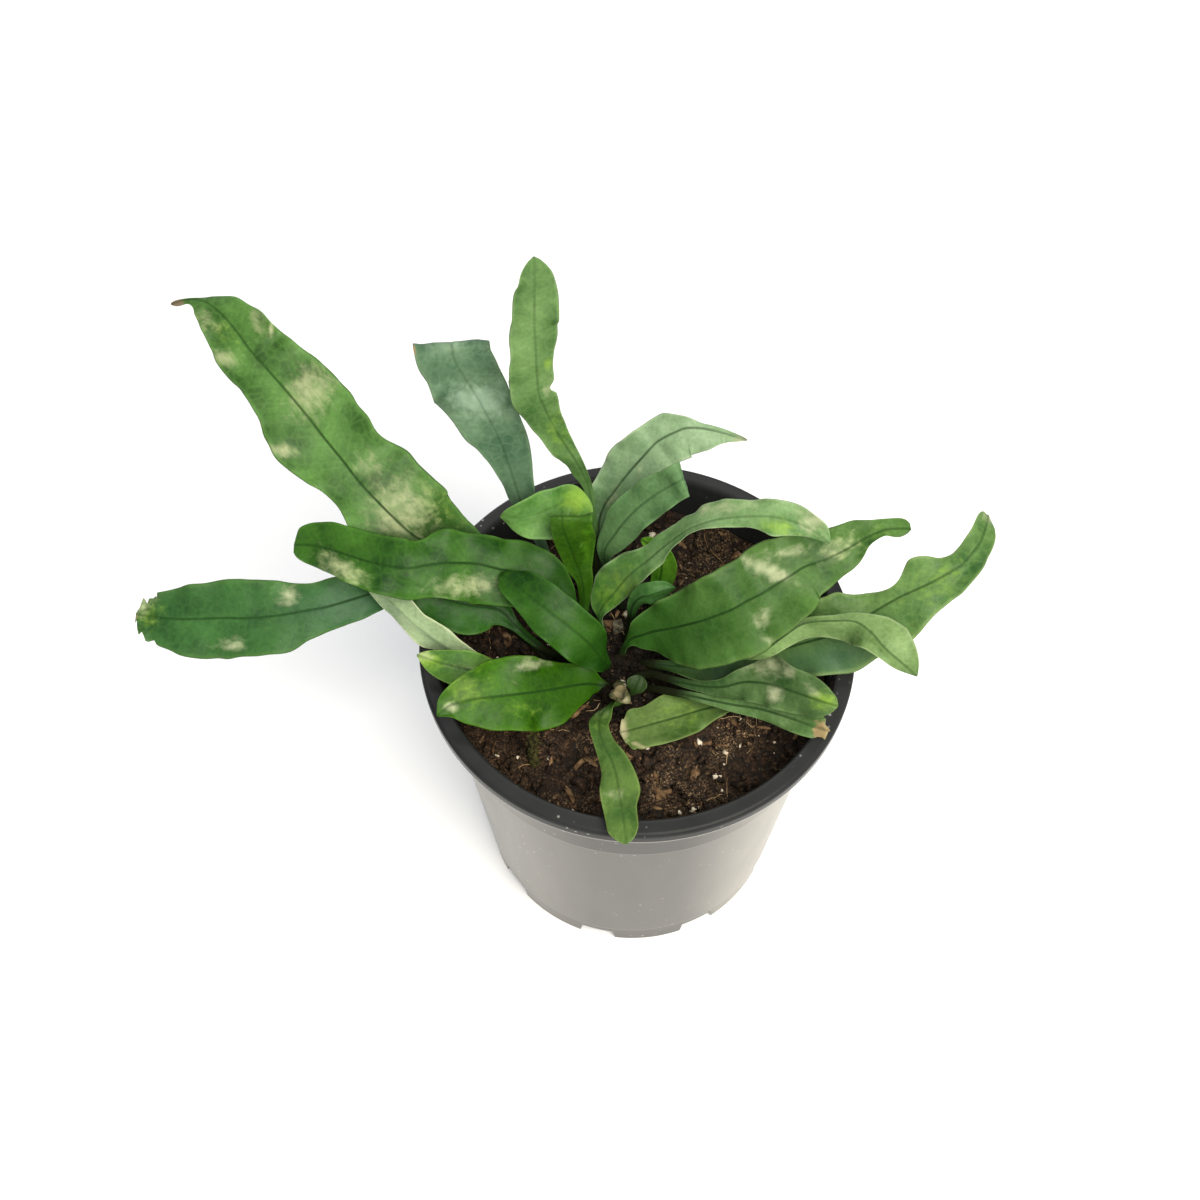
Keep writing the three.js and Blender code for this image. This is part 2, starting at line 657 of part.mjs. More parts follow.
// One point of a frond's section: column from -1, the left margin, to 1, on its top or underside.
function sectionPoint(frond, station, length, column, face, growth) {
  const { centre, normal, rightward, left, right, cupped, along } = station;
  const [tipLength, bluntness] = frond.tip;
  const [count, lift, phase] = frond.waves;
  const flat = smooth((along - (frond.bare ?? STALK.bare)) / (frond.flattening ?? STALK.flattening));
  const toTip = THREE.MathUtils.clamp((length - along) / tipLength, 0, 1);
  const closing = (1 - (1 - toTip) ** bluntness) ** (1 / bluntness);
  const side = Math.sign(column);
  const reach = Math.abs(column);
  let half = Math.max((side < 0 ? left : right) * closing, 0.3);
  for (const [share, nicked, depth, spread] of frond.nicks ?? [])
    if (nicked === side) half -= depth * Math.exp(-(((along - share * length) / spread) ** 2));
  const beat = 2 * Math.PI * ((count * along) / length + phase + 0.2 * side);
  const wave = lift * reach ** 2 * Math.cos(beat) * flat * closing;
  const cup = THREE.MathUtils.degToRad(cupped) * flat;
  const across = side * (reach * half * Math.cos(cup) + growth * reach);
  const raise = reach * half * Math.sin(cup) + wave;
  const blade = THREE.MathUtils.lerp(BLADE.ribThickness, BLADE.marginThickness, smooth(reach * 1.6));
  const stalk = STALK.thickness * Math.sqrt(1 - 0.85 * reach ** 2);
  const thickness = THREE.MathUtils.lerp(stalk, blade * (0.55 + 0.45 * closing), flat) + 2 * growth;
  return centre
    .clone()
    .addScaledVector(rightward, across)
    .addScaledVector(normal, raise + (face * thickness) / 2);
}

function solidFrom(corners, faces) {
  return new wasm.Manifold(
    new wasm.Mesh({
      numProp: 3,
      vertProperties: new Float32Array(corners.flatMap((corner) => corner.toArray())),
      triVerts: new Uint32Array(faces.flat()),
    }),
  );
}

// A solid through closed rings of corners, with flat ends. A ring runs over the top face from
// left to right and back along the underside, and both faces are split along the same diagonals.
function loft(rings) {
  const around = rings[0].length;
  const half = around / 2;
  const faces = [];
  for (let i = 0; i < rings.length - 1; i++)
    for (let j = 0; j < around; j++) {
      const a = i * around + j;
      const b = i * around + ((j + 1) % around);
      const c = a + around;
      const d = b + around;
      if (j < half) faces.push([a, b, d], [a, d, c]);
      else faces.push([a, b, c], [b, d, c]);
    }
  const end = (rings.length - 1) * around;
  for (let j = 0; j < half - 1; j++) {
    const k = around - 1 - j;
    faces.push([j, k, k - 1], [j, k - 1, j + 1]);
    faces.push([end + j, end + k - 1, end + k], [end + j, end + j + 1, end + k - 1]);
  }
  return solidFrom(rings.flat(), faces);
}

function frondSolid(frond, growth = 0) {
  const stations = stationsOf(frond);
  const length = stations.at(-1).along;
  stations[0].centre.z -= growth;
  const rings = stations.map((station) => {
    const face = (which) =>
      BLADE.columns.map((column) => sectionPoint(frond, station, length, column, which, growth));
    return [...face(1), ...face(-1).reverse()];
  });
  return loft(rings);
}

// A solid turned about the vertical: profile points [radius, height], the first and last on the axis.
function turned(profile, sides, place = (x, y, z) => z) {
  const corners = [];
  const faces = [];
  const rings = profile.map(([radius, height], row) => {
    const ring = [];
    for (let i = 0; i < (radius ? sides : 1); i++) {
      const angle = (2 * Math.PI * i) / sides;
      const x = radius * Math.cos(angle);
      const y = radius * Math.sin(angle);
      ring.push(corners.length);
      corners.push(new THREE.Vector3(x, y, place(x, y, height, row)));
    }
    return ring;
  });
  for (let row = 0; row < rings.length - 1; row++)
    for (let i = 0; i < sides; i++) {
      const at = (ring, j) => ring[ring.length === 1 ? 0 : j % sides];
      const [a, b] = [at(rings[row], i), at(rings[row], i + 1)];
      const [c, d] = [at(rings[row + 1], i), at(rings[row + 1], i + 1)];
      if (a !== b) faces.push([a, b, d]);
      if (c !== d) faces.push([a, d, c]);
    }
  return solidFrom(corners, faces);
}

function solidOf(geometry) {
  geometry.deleteAttribute('normal');
  geometry.deleteAttribute('uv');
  const merged = mergeVertices(geometry, 1e-4);
  return new wasm.Manifold(
    new wasm.Mesh({
      numProp: 3,
      vertProperties: merged.attributes.position.array,
      triVerts: new Uint32Array(merged.index.array),
    }),
  );
}

function meshOf(name, solid, colour, roughness) {
  const { numProp, numVert, vertProperties, triVerts } = solid.getMesh();
  const corners = new Float32Array(numVert * 3);
  for (let i = 0; i < numVert; i++)
    corners.set(vertProperties.subarray(i * numProp, i * numProp + 3), i * 3);
  const geometry = new THREE.BufferGeometry();
  geometry.setAttribute('position', new THREE.BufferAttribute(corners, 3));
  geometry.setIndex(new THREE.BufferAttribute(new Uint32Array(triVerts), 1));
  const faceted = geometry.toNonIndexed();
  faceted.computeVertexNormals();
  const material = new THREE.MeshStandardMaterial({ color: colour, roughness, metalness: 0 });
  const mesh = new THREE.Mesh(faceted, material);
  mesh.name = name;
  return mesh;
}

// The pot's wall, from the ground up the outside, over the lip and down the inside.
function potProfiles() {
  const { height, rimRadius, lipWidth, wall, shoulderRadius, heelRadius, dimpleRadius } = POT;
  const shoulder = height - POT.shoulderDrop;
  const skirt = height - POT.skirtDrop;
  const neck = rimRadius - lipWidth + wall / 2; // outside of the wall under the lip
  const floor = POT.floorHeight;
  const outside = [
    [dimpleRadius, 0],
    [dimpleRadius + 2, floor],
    [POT.footRadius - wall, floor],
    [POT.footRadius - wall, 0],
    [POT.footRadius, 0],
    [heelRadius, floor + 3],
    [shoulderRadius - 0.9, shoulder - 1],
    [shoulderRadius, shoulder],
    [neck - 0.2, skirt],
    [neck, height - wall],
    [rimRadius - wall, height - wall],
    [rimRadius - wall, skirt],
    [rimRadius - 0.2, skirt],
    [rimRadius, height - 0.9],
    [rimRadius - 0.7, height],
  ];
  const inside = [
    [rimRadius - lipWidth + 0.4, height],
    [rimRadius - lipWidth - 0.3, height - 0.8],
    [neck - 0.2 - wall, skirt],
    [shoulderRadius - wall, shoulder],
    [shoulderRadius - 0.9 - wall, shoulder - 1],
    [heelRadius - wall, floor + 3],
    [heelRadius - wall - 0.6, floor + wall],
    [dimpleRadius + 1.6, floor + wall],
    [dimpleRadius - 0.4, wall],
  ];
  return { outside, inside };
}

function potSolid() {
  const { outside, inside } = potProfiles();
  let pot = turned([[0, 0], ...outside, ...inside, [0, POT.wall]], POT.sides);
  for (let i = 0; i < POT.notches; i++) {
    const angle = THREE.MathUtils.degToRad(POT.notchTurn + (360 * i) / POT.notches - 90);
    const notch = new THREE.BoxGeometry(8, POT.notchWidth, 2 * POT.notchHeight);
    notch.translate(POT.footRadius, 0, 0);
    notch.rotateZ(angle);
    const drain = new THREE.CylinderGeometry(POT.drainRadius, POT.drainRadius, 6, 12);
    drain.rotateX(Math.PI / 2);
    drain.translate(POT.drainCircle, 0, POT.floorHeight);
    drain.rotateZ(angle);
    pot = pot.subtract(solidOf(notch)).subtract(solidOf(drain));
  }
  return pot;
}

// The compost fills the pot to its inner wall, less the running gap.
function soilBlank() {
  const surface = POT.height - SOIL.edgeDepth;
  const shoulder = POT.height - POT.shoulderDrop;
  const wallTop = POT.shoulderRadius - POT.wall - GAP;
  const top = [];
  const edge = wallTop + 0.5;
  for (let i = 0; i < SOIL.topRings; i++) top.push([(edge * i) / SOIL.topRings, surface]);
  const profile = [
    ...top,
    [edge, surface],
    [wallTop, shoulder + GAP / 2],
    [wallTop - 0.9, shoulder - 1 + GAP / 2],
    [POT.heelRadius - POT.wall - GAP, POT.floorHeight + 3],
    [POT.heelRadius - POT.wall - 0.6 - GAP, POT.floorHeight + POT.wall + GAP],
    [POT.dimpleRadius + 1.4, POT.floorHeight + POT.wall + GAP],
    [POT.dimpleRadius - 0.6, POT.wall + GAP],
    [0, POT.wall + GAP],
  ].reverse();
  const rows = profile.length;
  return turned(profile, POT.sides, (x, y, z, row) =>
    row >= rows - top.length - 1 ? soilHeight(x, y) : z,
  );
}

// A tube through points, with a radius that may change along it.
function tube(points, radii, sides) {
  const tangents = tangentsOf(points);
  const normals = steadyNormals(points, tangents);
  const rings = points.map((point, i) => {
    const across = tangents[i].clone().cross(normals[i]);
    const ring = [];
    for (let j = 0; j < sides; j++) {
      const angle = Math.PI - (2 * Math.PI * (j + 0.5)) / sides;
      ring.push(
        point
          .clone()
          .addScaledVector(across, radii[i] * Math.cos(angle))
          .addScaledVector(normals[i], radii[i] * Math.sin(angle)),
      );
    }
    return ring;
  });
  return loft(rings);
}

function rhizomeSolid(growth) {
  const branches = RHIZOME.runs.map((run) => {
    const rows = refine(
      run.map(([x, y]) => [x, y, soilHeight(x, y) + RHIZOME.rise]),
      1,
    );
    const points = rows.map((row) => new THREE.Vector3(...row));
    const last = points.length - 1;
    points[0].addScaledVector(points[0].clone().sub(points[1]).normalize(), growth);
    points[last].addScaledVector(points[last].clone().sub(points[last - 1]).normalize(), growth);
    const radii = points.map((_, i) => {
      const blunt = Math.sqrt(Math.min(1, 0.35 + (0.65 * Math.min(i, last - i)) / 2));
      return RHIZOME.radius * blunt * (1 + 0.1 * Math.sin(2.1 * i)) + growth;
    });
    return tube(points, radii, RHIZOME.sides);
  });
  return branches.reduce((whole, branch) => whole.add(branch));
}

function stubSolid(growth) {
  const centres = STUB.points.map(([x, y, rise]) => new THREE.Vector3(x, y, soilHeight(x, y) + rise));
  centres[0].z -= growth;
  return tube(centres, STUB.radii.map((radius) => radius + growth), 8);
}

function chunkSolid(growth) {
  const side = CHUNK.size + 2 * growth;
  const block = new THREE.BoxGeometry(side, side, side);
  block.rotateZ(THREE.MathUtils.degToRad(CHUNK.turn));
  block.translate(CHUNK.x, CHUNK.y, soilHeight(CHUNK.x, CHUNK.y) + CHUNK.size / 2 - CHUNK.sunk);
  return solidOf(block);
}

function stalkRoom(frond, { rise, radius }) {
  const top = soilHeight(...frond.foot) + rise;
  const points = stationsOf(frond)
    .map((station) => station.centre)
    .filter((centre, i) => i <= 3 * (frond.perSpan ?? FROND_STEPS) || centre.z < top);
  points[0].z -= GAP;
  return tube(points, Array(points.length).fill(radius), STALK_HOLE.sides);
}

// A solid less its cutters, without any loose scraps that they leave.
function cutBy(solid, cutters) {
  const bodies = cutters.reduce((rest, cutter) => rest.subtract(cutter), solid).decompose();
  return bodies.reduce((largest, body) => (body.volume() > largest.volume() ? body : largest));
}

const looseRooms = [stubSolid(HOLE_GROWTH), chunkSolid(GAP)];

function soilSolid() {
  const rooms = FRONDS.map((frond) => stalkRoom(frond, STALK_HOLE.inCompost));
  return cutBy(soilBlank(), [rhizomeSolid(GAP), ...looseRooms, ...rooms]);
}

// A blade that opens out low down leaves its whole shape in the rhizome, not only its stalk's.
function rootedRhizome() {
  const rooms = FRONDS.map((frond) =>
    frond.bare < STALK.bare ? frondSolid(frond, HOLE_GROWTH) : stalkRoom(frond, STALK_HOLE.inRhizome),
  );
  return cutBy(rhizomeSolid(0), [...looseRooms, ...rooms]);
}

const fern = new THREE.Group();
fern.name = 'potted_kangaroo_fern';
fern.add(meshOf('pot_shell', potSolid(), 0x26282a, 0.35));
fern.add(meshOf('soil_core', soilSolid(), 0x3a2820, 0.95));
fern.add(meshOf('rhizome', rootedRhizome(), 0x2b2219, 0.85));
fern.add(meshOf(STUB.name, stubSolid(0), 0x5c5a30, 0.7));
fern.add(meshOf(CHUNK.name, chunkSolid(0), 0x9a8468, 0.9));
for (const frond of FRONDS) fern.add(meshOf(frond.name, frondSolid(frond), frond.green, 0.5));

export default fern;
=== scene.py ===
import math
import random

import bmesh
import bpy
import numpy as np
from mathutils import Matrix, Vector, noise


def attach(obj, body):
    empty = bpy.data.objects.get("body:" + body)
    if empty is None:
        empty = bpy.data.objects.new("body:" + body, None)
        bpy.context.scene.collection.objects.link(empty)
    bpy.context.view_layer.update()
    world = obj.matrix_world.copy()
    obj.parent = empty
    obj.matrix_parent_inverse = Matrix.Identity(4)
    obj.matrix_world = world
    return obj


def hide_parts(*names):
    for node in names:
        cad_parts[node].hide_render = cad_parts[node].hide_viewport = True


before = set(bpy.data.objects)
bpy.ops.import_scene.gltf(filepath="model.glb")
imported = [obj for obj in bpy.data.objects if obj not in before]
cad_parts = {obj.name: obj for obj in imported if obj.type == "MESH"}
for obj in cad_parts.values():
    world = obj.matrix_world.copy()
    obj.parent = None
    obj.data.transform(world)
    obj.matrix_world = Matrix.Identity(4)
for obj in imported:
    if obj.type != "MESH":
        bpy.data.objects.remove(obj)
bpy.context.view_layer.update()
mm = 0.001


# An sRGB hex colour as the linear colour that a shader takes.
def linear(hexColour):
    shares = [int(hexColour[i : i + 2], 16) / 255 for i in (1, 3, 5)]
    return (*[s / 12.92 if s <= 0.04045 else ((s + 0.055) / 1.055) ** 2.4 for s in shares], 1)


# Adds a node: settings are its properties or sockets, links are the nodes or sockets that feed it.
def addNode(tree, kind, settings={}, links={}):
    node = tree.nodes.new(kind)
    for name, value in settings.items():
        if isinstance(name, int) or name in node.inputs:
            node.inputs[name].default_value = value
        else:
            setattr(node, name, value)
    for name, source in links.items():
        tree.links.new(source.outputs[0] if hasattr(source, "outputs") else source, node.inputs[name])
    return node


def newMaterial(name):
    material = bpy.data.materials.new(name)
    material.use_nodes = True
    material.node_tree.nodes.clear()
    return material, material.node_tree


def finishMaterial(tree, shader):
    addNode(tree, "ShaderNodeOutputMaterial", links={"Surface": shader})


# How often a texture repeats in a metre, for a pattern of a real size in mm.
def perMetre(size):
    return 1 / (size * mm)


# A closed mesh from corners in mm, which stands for the named nodes.
def addPiece(name, corners, faces, material, stands=(), attributes={}):
    mesh = bpy.data.meshes.new(name)
    mesh.from_pydata((np.asarray(corners, float) * mm).tolist(), [], [list(f) for f in faces])
    for label, values in attributes.items():
        layer = mesh.attributes.new(label, "FLOAT_VECTOR", "POINT")
        layer.data.foreach_set("vector", np.asarray(values, np.float32).ravel())
    mesh.shade_smooth()
    piece = bpy.data.objects.new(name, mesh)
    bpy.context.scene.collection.objects.link(piece)
    mesh.materials.append(material)
    return settle(piece, stands)


# Every piece rides on the pot's body, and may stand for imported nodes.
def settle(piece, stands=()):
    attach(piece, "root")
    if stands:
        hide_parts(*stands)
    return piece


# Turns the modifiers of a piece into its mesh.
def applyModifiers(piece):
    bpy.context.view_layer.update()
    depsgraph = bpy.context.evaluated_depsgraph_get()
    applied = bpy.data.meshes.new_from_object(piece.evaluated_get(depsgraph))
    piece.modifiers.clear()
    piece.data = applied
    applied.name = piece.name


# The viewpoint of the photograph, which is 1200 pixels wide and high.
sight = {
    "eye": Vector((0, -234.5, 495.5)),
    "target": Vector((-11.6, 11.9, 118)),
    "focalPixels": 1490.6,
    "imagePixels": 1200,
    "sensor": 36,
    "nearest": 10,
}
forward = (sight["target"] - sight["eye"]).normalized()
rightward = forward.cross(Vector((0, 0, 1))).normalized()
upward = rightward.cross(forward)
centrePixel = sight["imagePixels"] / 2


# The point at a given height on the line of sight through a pixel of the photograph.
def sighted(pixel, height):
    across = (pixel[0] - centrePixel) / sight["focalPixels"]
    above = (centrePixel - pixel[1]) / sight["focalPixels"]
    ray = forward + rightward * across + upward * above
    return sight["eye"] + ray * ((height - sight["eye"].z) / ray.z)


# The pixels of the photograph where points in mm are seen.
def seenAt(points):
    offsets = np.asarray(points, float) - np.array(sight["eye"])
    depth = offsets @ np.array(forward)
    across = centrePixel + sight["focalPixels"] * (offsets @ np.array(rightward)) / depth
    down = centrePixel - sight["focalPixels"] * (offsets @ np.array(upward)) / depth
    return across, down


def addCamera():
    camera = bpy.data.objects.new("camera", bpy.data.cameras.new("camera"))
    bpy.context.scene.collection.objects.link(camera)
    camera.location = sight["eye"] * mm
    camera.rotation_euler = forward.to_track_quat("-Z", "Y").to_euler()
    camera.data.sensor_width = sight["sensor"]
    camera.data.lens = sight["sensor"] * sight["focalPixels"] / sight["imagePixels"]
    camera.data.clip_start = sight["nearest"] * mm
    bpy.context.scene.camera = camera


studio = {
    "floorSize": 6000,
    "floorColour": "#f4f4f3",
    "worldColour": "#eff5ff",
    "worldStrength": 0.58,
    "keyPlace": (380, -600, 1010),  # high up, to the right in front of the pot
    "keySize": 950,
    "keyWatts": 25.5,
    "keyColour": "#fff9ee",
    "fillPlace": (-300, 800, 800),
    "fillSize": 900,
    "fillWatts": 3,
    "aim": (0, 0, 100),
}


def addLight(name, place, size, watts, colour):
    lamp = bpy.data.lights.new(name, "AREA")
    lamp.size = size * mm
    lamp.energy = watts
    lamp.color = linear(colour)[:3]
    light = bpy.data.objects.new(name, lamp)
    bpy.context.scene.collection.objects.link(light)
    light.location = Vector(place) * mm
    aim = Vector(studio["aim"]) - Vector(place)
    light.rotation_euler = aim.to_track_quat("-Z", "Y").to_euler()


def addStudio():
    scene = bpy.context.scene
    scene.view_settings.view_transform = "Standard"
    scene.view_settings.look = "None"
    world = bpy.data.worlds.new("pale_room")
    world.use_nodes = True
    world.node_tree.nodes.clear()
    sky = {"Color": linear(studio["worldColour"]), "Strength": studio["worldStrength"]}
    glow = addNode(world.node_tree, "ShaderNodeBackground", sky)
    addNode(world.node_tree, "ShaderNodeOutputWorld", links={"Surface": glow})
    scene.world = world
    addLight("key", studio["keyPlace"], studio["keySize"], studio["keyWatts"], studio["keyColour"])
    addLight("fill", studio["fillPlace"], studio["fillSize"], studio["fillWatts"], "#ffffff")

    half = studio["floorSize"] / 2
    mesh = bpy.data.meshes.new("floor")
    ends = [(-half, -half), (half, -half), (half, half), (-half, half)]
    mesh.from_pydata([(x * mm, y * mm, 0) for x, y in ends], [], [(0, 1, 2, 3)])
    floor = bpy.data.objects.new("floor", mesh)
    scene.collection.objects.link(floor)
    material, tree = newMaterial("painted_board_matt")  # plain and pale, so only soft shade shows on it
    shade = {"Base Color": linear(studio["floorColour"]), "Roughness": 0.8, "Specular IOR Level": 0.2}
    finishMaterial(tree, addNode(tree, "ShaderNodeBsdfPrincipled", shade))
    mesh.materials.append(material)


addCamera()
addStudio()
print("camera, lights and floor are set")

pot = {
    "height": 118,
    "rimRadius": 65,
    "lipWidth": 5.2,
    "skirtDrop": 5,
    "wall": 1.3,
    "shoulderDrop": 27,
    "shoulderRadius": 58.8,
    "heelRadius": 50.8,
    "footRadius": 50.2,
    "floorHeight": 7,
    "dimpleRadius": 13,
    "notches": 9,
    "notchWidth": 11,
    "notchHeight": 5.8,
    "notchTurn": 29,
    "drainRadius": 3.4,
    "drainCircle": 38,
    "drainSides": 32,
    "drillLength": 6,
    "sides": 360,
}

soil = {
    "edgeDepth": 14.5,
    "mound": 2.6,
    "relief": 0.9,
    "gap": 0.3,
    "rings": 104,
    "spokes": 288,
    "crumbHeight": 1.3,
    "crumbSize": 3.4,
    "smallSize": 1.1,
    "broadSize": 9,
    "broadHeight": 0.7,
    "calmEdge": 2,  # the relief dies away this near the wall
}


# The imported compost's surface, with the same lumps as the solid and a little higher in the middle.
def soilHeight(x, y):
    fall = (x * x + y * y) / pot["shoulderRadius"] ** 2
    lumps = math.sin(0.31 * x + 1.2) * math.cos(0.27 * y - 0.4)
    lumps += 0.6 * math.sin(0.57 * x - 0.33 * y + 2)
    lumps += 0.4 * math.cos(0.21 * x + 0.71 * y)
    return pot["height"] - soil["edgeDepth"] + soil["mound"] * (1 - fall) + soil["relief"] * lumps / 2


# Corners of a profile rounded off, each point being (radius, height, rounding).
def rounded(profile, steps=5):
    points = []
    beside = 0.35  # a loop this far from each rounding keeps the flat stretches flat
    roundedShare = 0.4  # the most of a side that a rounding takes
    besideShare = 0.08
    for i, (radius, height, rounding) in enumerate(profile):
        here = Vector((radius, height))
        if not rounding:
            points.append(here)
            continue
        before = Vector(profile[i - 1][:2]) - here
        after = Vector(profile[(i + 1) % len(profile)][:2]) - here
        start = here + before.normalized() * min(rounding, before.length * roundedShare)
        end = here + after.normalized() * min(rounding, after.length * roundedShare)
        points.append(start + before.normalized() * min(beside, before.length * besideShare))
        for k in range(steps + 1):
            t = k / steps
            points.append(start * (1 - t) ** 2 + here * (2 * t * (1 - t)) + end * t**2)
        points.append(end + after.normalized() * min(beside, after.length * besideShare))
    return points


# A closed solid turned about the vertical, from the axis round to the axis again.
def turned(profile, angles, place=None):
    corners = []
    faces = []
    rings = []
    for row, (radius, height) in enumerate(profile):
        ring = []
        for angle in angles if radius > 0 else [0]:
            x, y = radius * math.cos(angle), radius * math.sin(angle)
            ring.append(len(corners))
            corners.append((x, y, place(x, y, height, row) if place else height))
        rings.append(ring)
    count = len(angles)
    for first, second in zip(rings, rings[1:]):
        for i in range(count):
            loop = [first[i % len(first)], first[(i + 1) % len(first)]]
            loop += [second[(i + 1) % len(second)], second[i % len(second)]]
            faces.append([corner for k, corner in enumerate(loop) if corner not in loop[:k]])
    return corners, [face for face in faces if len(face) > 2]


def blackPolypropylene():
    # Black polypropylene, injection moulded: the polished wall mirrors the pale floor at a slant,
    # so it looks grey from above. Its front has a thin film of dust, with painted reflections of the
    # lit floor that make it palest at the right, and dark smudges at the left; the band under the lip
    # has painted shade, painted highlights run along its edges, and the lip is duller, with pale specks
    film = {
        "black": "#191a1b",
        "dustyBlack": "#323332",
        "cloudSize": 26,
        "speck": "#c9c5bd",
        "speckSpacing": 3.3,
        "film": "#25211c",
        "lipInside": 62.5,  # the film lies on the wall inside this radius
        "foot": "#1e1815",
        "footTop": 9.8,
        # the band between the shoulder and the lip takes a darker colour: painted shade under the lip
        "neck": "#161513",
        "neckStart": 91,  # at the shoulder
        # painted reflections of the lit floor: a paler band at the left of the front, glare at the right
        "paler": (("paintedSheenLeft", -8, -44), ("paintedGlareRight", 14, 52)),  # each fades in from one x to another
        "paintedSheenLeft": "#68635b",
        "paintedGlareRight": "#8f8a7f",
        "smudge": "#171411",
        "smudgeSize": 9,
        "smudgeStart": -38,
        "smudgeEdge": -55,
        # the colour of the painted highlights along the pot's edges
        "line": "#c4c0b6",
        "lines": (91, 10),  # painted highlights along the shoulder's and the heel's rounded edges
        # the height of the painted highlight along the lip's lower edge
        "lipEdgeGlint": 113.9,  # the lip's lower edge
        "lipOutside": 64.4,
        "glare": "#fffcf3",
    }
    material, tree = newMaterial("polypropylene_moulded_black")
    surface = addNode(tree, "ShaderNodeTexCoord").outputs
    place = surface["Object"]
    split = addNode(tree, "ShaderNodeSeparateXYZ", links={0: place}).outputs
    clouds = addNode(
        tree, "ShaderNodeTexNoise", {"Scale": perMetre(film["cloudSize"]), "Detail": 5}, {"Vector": place}
    )
    black = addNode(
        tree,
        "ShaderNodeMixRGB",
        {"Color1": linear(film["black"]), "Color2": linear(film["dustyBlack"])},
        {"Fac": clouds},
    )
    # The film lies on the outside of the wall, under the lip
    around = addNode(tree, "ShaderNodeVectorMath", {"operation": "MULTIPLY", 1: (1, 1, 0)}, {0: place})
    outward = addNode(tree, "ShaderNodeVectorMath", {"operation": "NORMALIZE"}, {0: around})
    facing = addNode(
        tree, "ShaderNodeVectorMath", {"operation": "DOT_PRODUCT"}, {0: outward, 1: surface["Normal"]}
    )
    outer = addNode(
        tree, "ShaderNodeMapRange", {"From Min": 0.1, "From Max": 0.4}, {"Value": facing.outputs["Value"]}
    )
    radius = addNode(tree, "ShaderNodeVectorMath", {"operation": "LENGTH"}, {0: around}).outputs["Value"]
    underLip = addNode(
        tree,
        "ShaderNodeMapRange",
        {"From Min": film["lipInside"] * mm, "From Max": (film["lipInside"] - 1) * mm},
        {"Value": radius},
    )
    lowWall = addNode(tree, "ShaderNodeMath", {"operation": "MULTIPLY"}, {0: outer, 1: underLip})
    filmShare = addNode(
        tree,
        "ShaderNodeMapRange",
        {"From Min": 0.25, "From Max": 0.75, "To Min": 0.78, "To Max": 1.0},
        {"Value": clouds},
    )
    filmMask = addNode(tree, "ShaderNodeMath", {"operation": "MULTIPLY"}, {0: lowWall, 1: filmShare})
    footMask, neck = [
        addNode(
            tree,
            "ShaderNodeMapRange",
            {"From Min": (edge - fade) * mm, "From Max": (edge + fade) * mm},
            {"Value": split["Z"]},
        )
        for edge, fade in ((film["footTop"], -0.4), (film["neckStart"], 0.4))
    ]
    # the neck's darker colour is painted shade under the lip
    layers = [(neck, "neck")]

    # Paler at the left and right of the front, as painted reflections of the lit floor, and black again
    # round the sides and back
    turn = addNode(tree, "ShaderNodeSeparateXYZ", links={0: outward}).outputs
    ragged = addNode(
        tree, "ShaderNodeMath", {"operation": "MULTIPLY_ADD", 1: 0.5}, {0: clouds, 2: turn["Y"]}
    )
    frontShare = addNode(
        tree,
        "ShaderNodeMapRange",
        {"From Min": 0.5, "From Max": -0.25, "interpolation_type": "SMOOTHSTEP"},
        {"Value": ragged},
    )
    for hue, start, end in film["paler"]:
        paler = addNode(
            tree,
            "ShaderNodeMapRange",
            {"From Min": start * mm, "From Max": end * mm, "interpolation_type": "SMOOTHSTEP"},
            {"Value": split["X"]},
        )
        paler = addNode(tree, "ShaderNodeMath", {"operation": "MULTIPLY"}, {0: paler, 1: frontShare})
        layers.append((paler, hue))

    # Run-down water streaks and smudges, mostly at the far left
    tall = addNode(tree, "ShaderNodeVectorMath", {"operation": "MULTIPLY", 1: (1, 1, 0.3)}, {0: place})
    streaks = addNode(
        tree, "ShaderNodeTexNoise", {"Scale": perMetre(film["smudgeSize"]), "Detail": 4}, {"Vector": tall}
    )
    streakShare = addNode(
        tree,
        "ShaderNodeMapRange",
        {"From Min": 0.42, "From Max": 0.66, "To Min": 0.1, "To Max": 0.75},
        {"Value": streaks},
    )
    leftShare = addNode(
        tree,
        "ShaderNodeMapRange",
        {"From Min": film["smudgeStart"] * mm, "From Max": film["smudgeEdge"] * mm, "To Min": 0.2},
        {"Value": split["X"]},
    )
    smudged = addNode(tree, "ShaderNodeMath", {"operation": "MULTIPLY"}, {0: streakShare, 1: leftShare})
    layers.append((smudged, "smudge"))
    # Painted highlights along the shoulder and the heel
    for glintHeight in film["lines"]:
        apart = addNode(
            tree, "ShaderNodeMath", {"operation": "SUBTRACT", 1: glintHeight * mm}, {0: split["Z"]}
        )
        near = addNode(tree, "ShaderNodeMath", {"operation": "ABSOLUTE"}, {0: apart})
        line = addNode(
            tree,
            "ShaderNodeMapRange",
            {"From Min": 0.7 * mm, "From Max": 0.2 * mm, "To Max": 0.22},
            {"Value": near},
        )
        layers.append((line, "line"))
    filmColour = addNode(
        tree,
        "ShaderNodeMixRGB",
        {"Color1": linear(film["film"]), "Color2": linear(film["foot"])},
        {"Fac": footMask},
    )
    for share, hue in layers:
        filmColour = addNode(
            tree, "ShaderNodeMixRGB", {"Color2": linear(film[hue])}, {"Fac": share, "Color1": filmColour}
        )
    colour = addNode(
        tree, "ShaderNodeMixRGB", links={"Fac": filmMask, "Color1": black, "Color2": filmColour}
    )
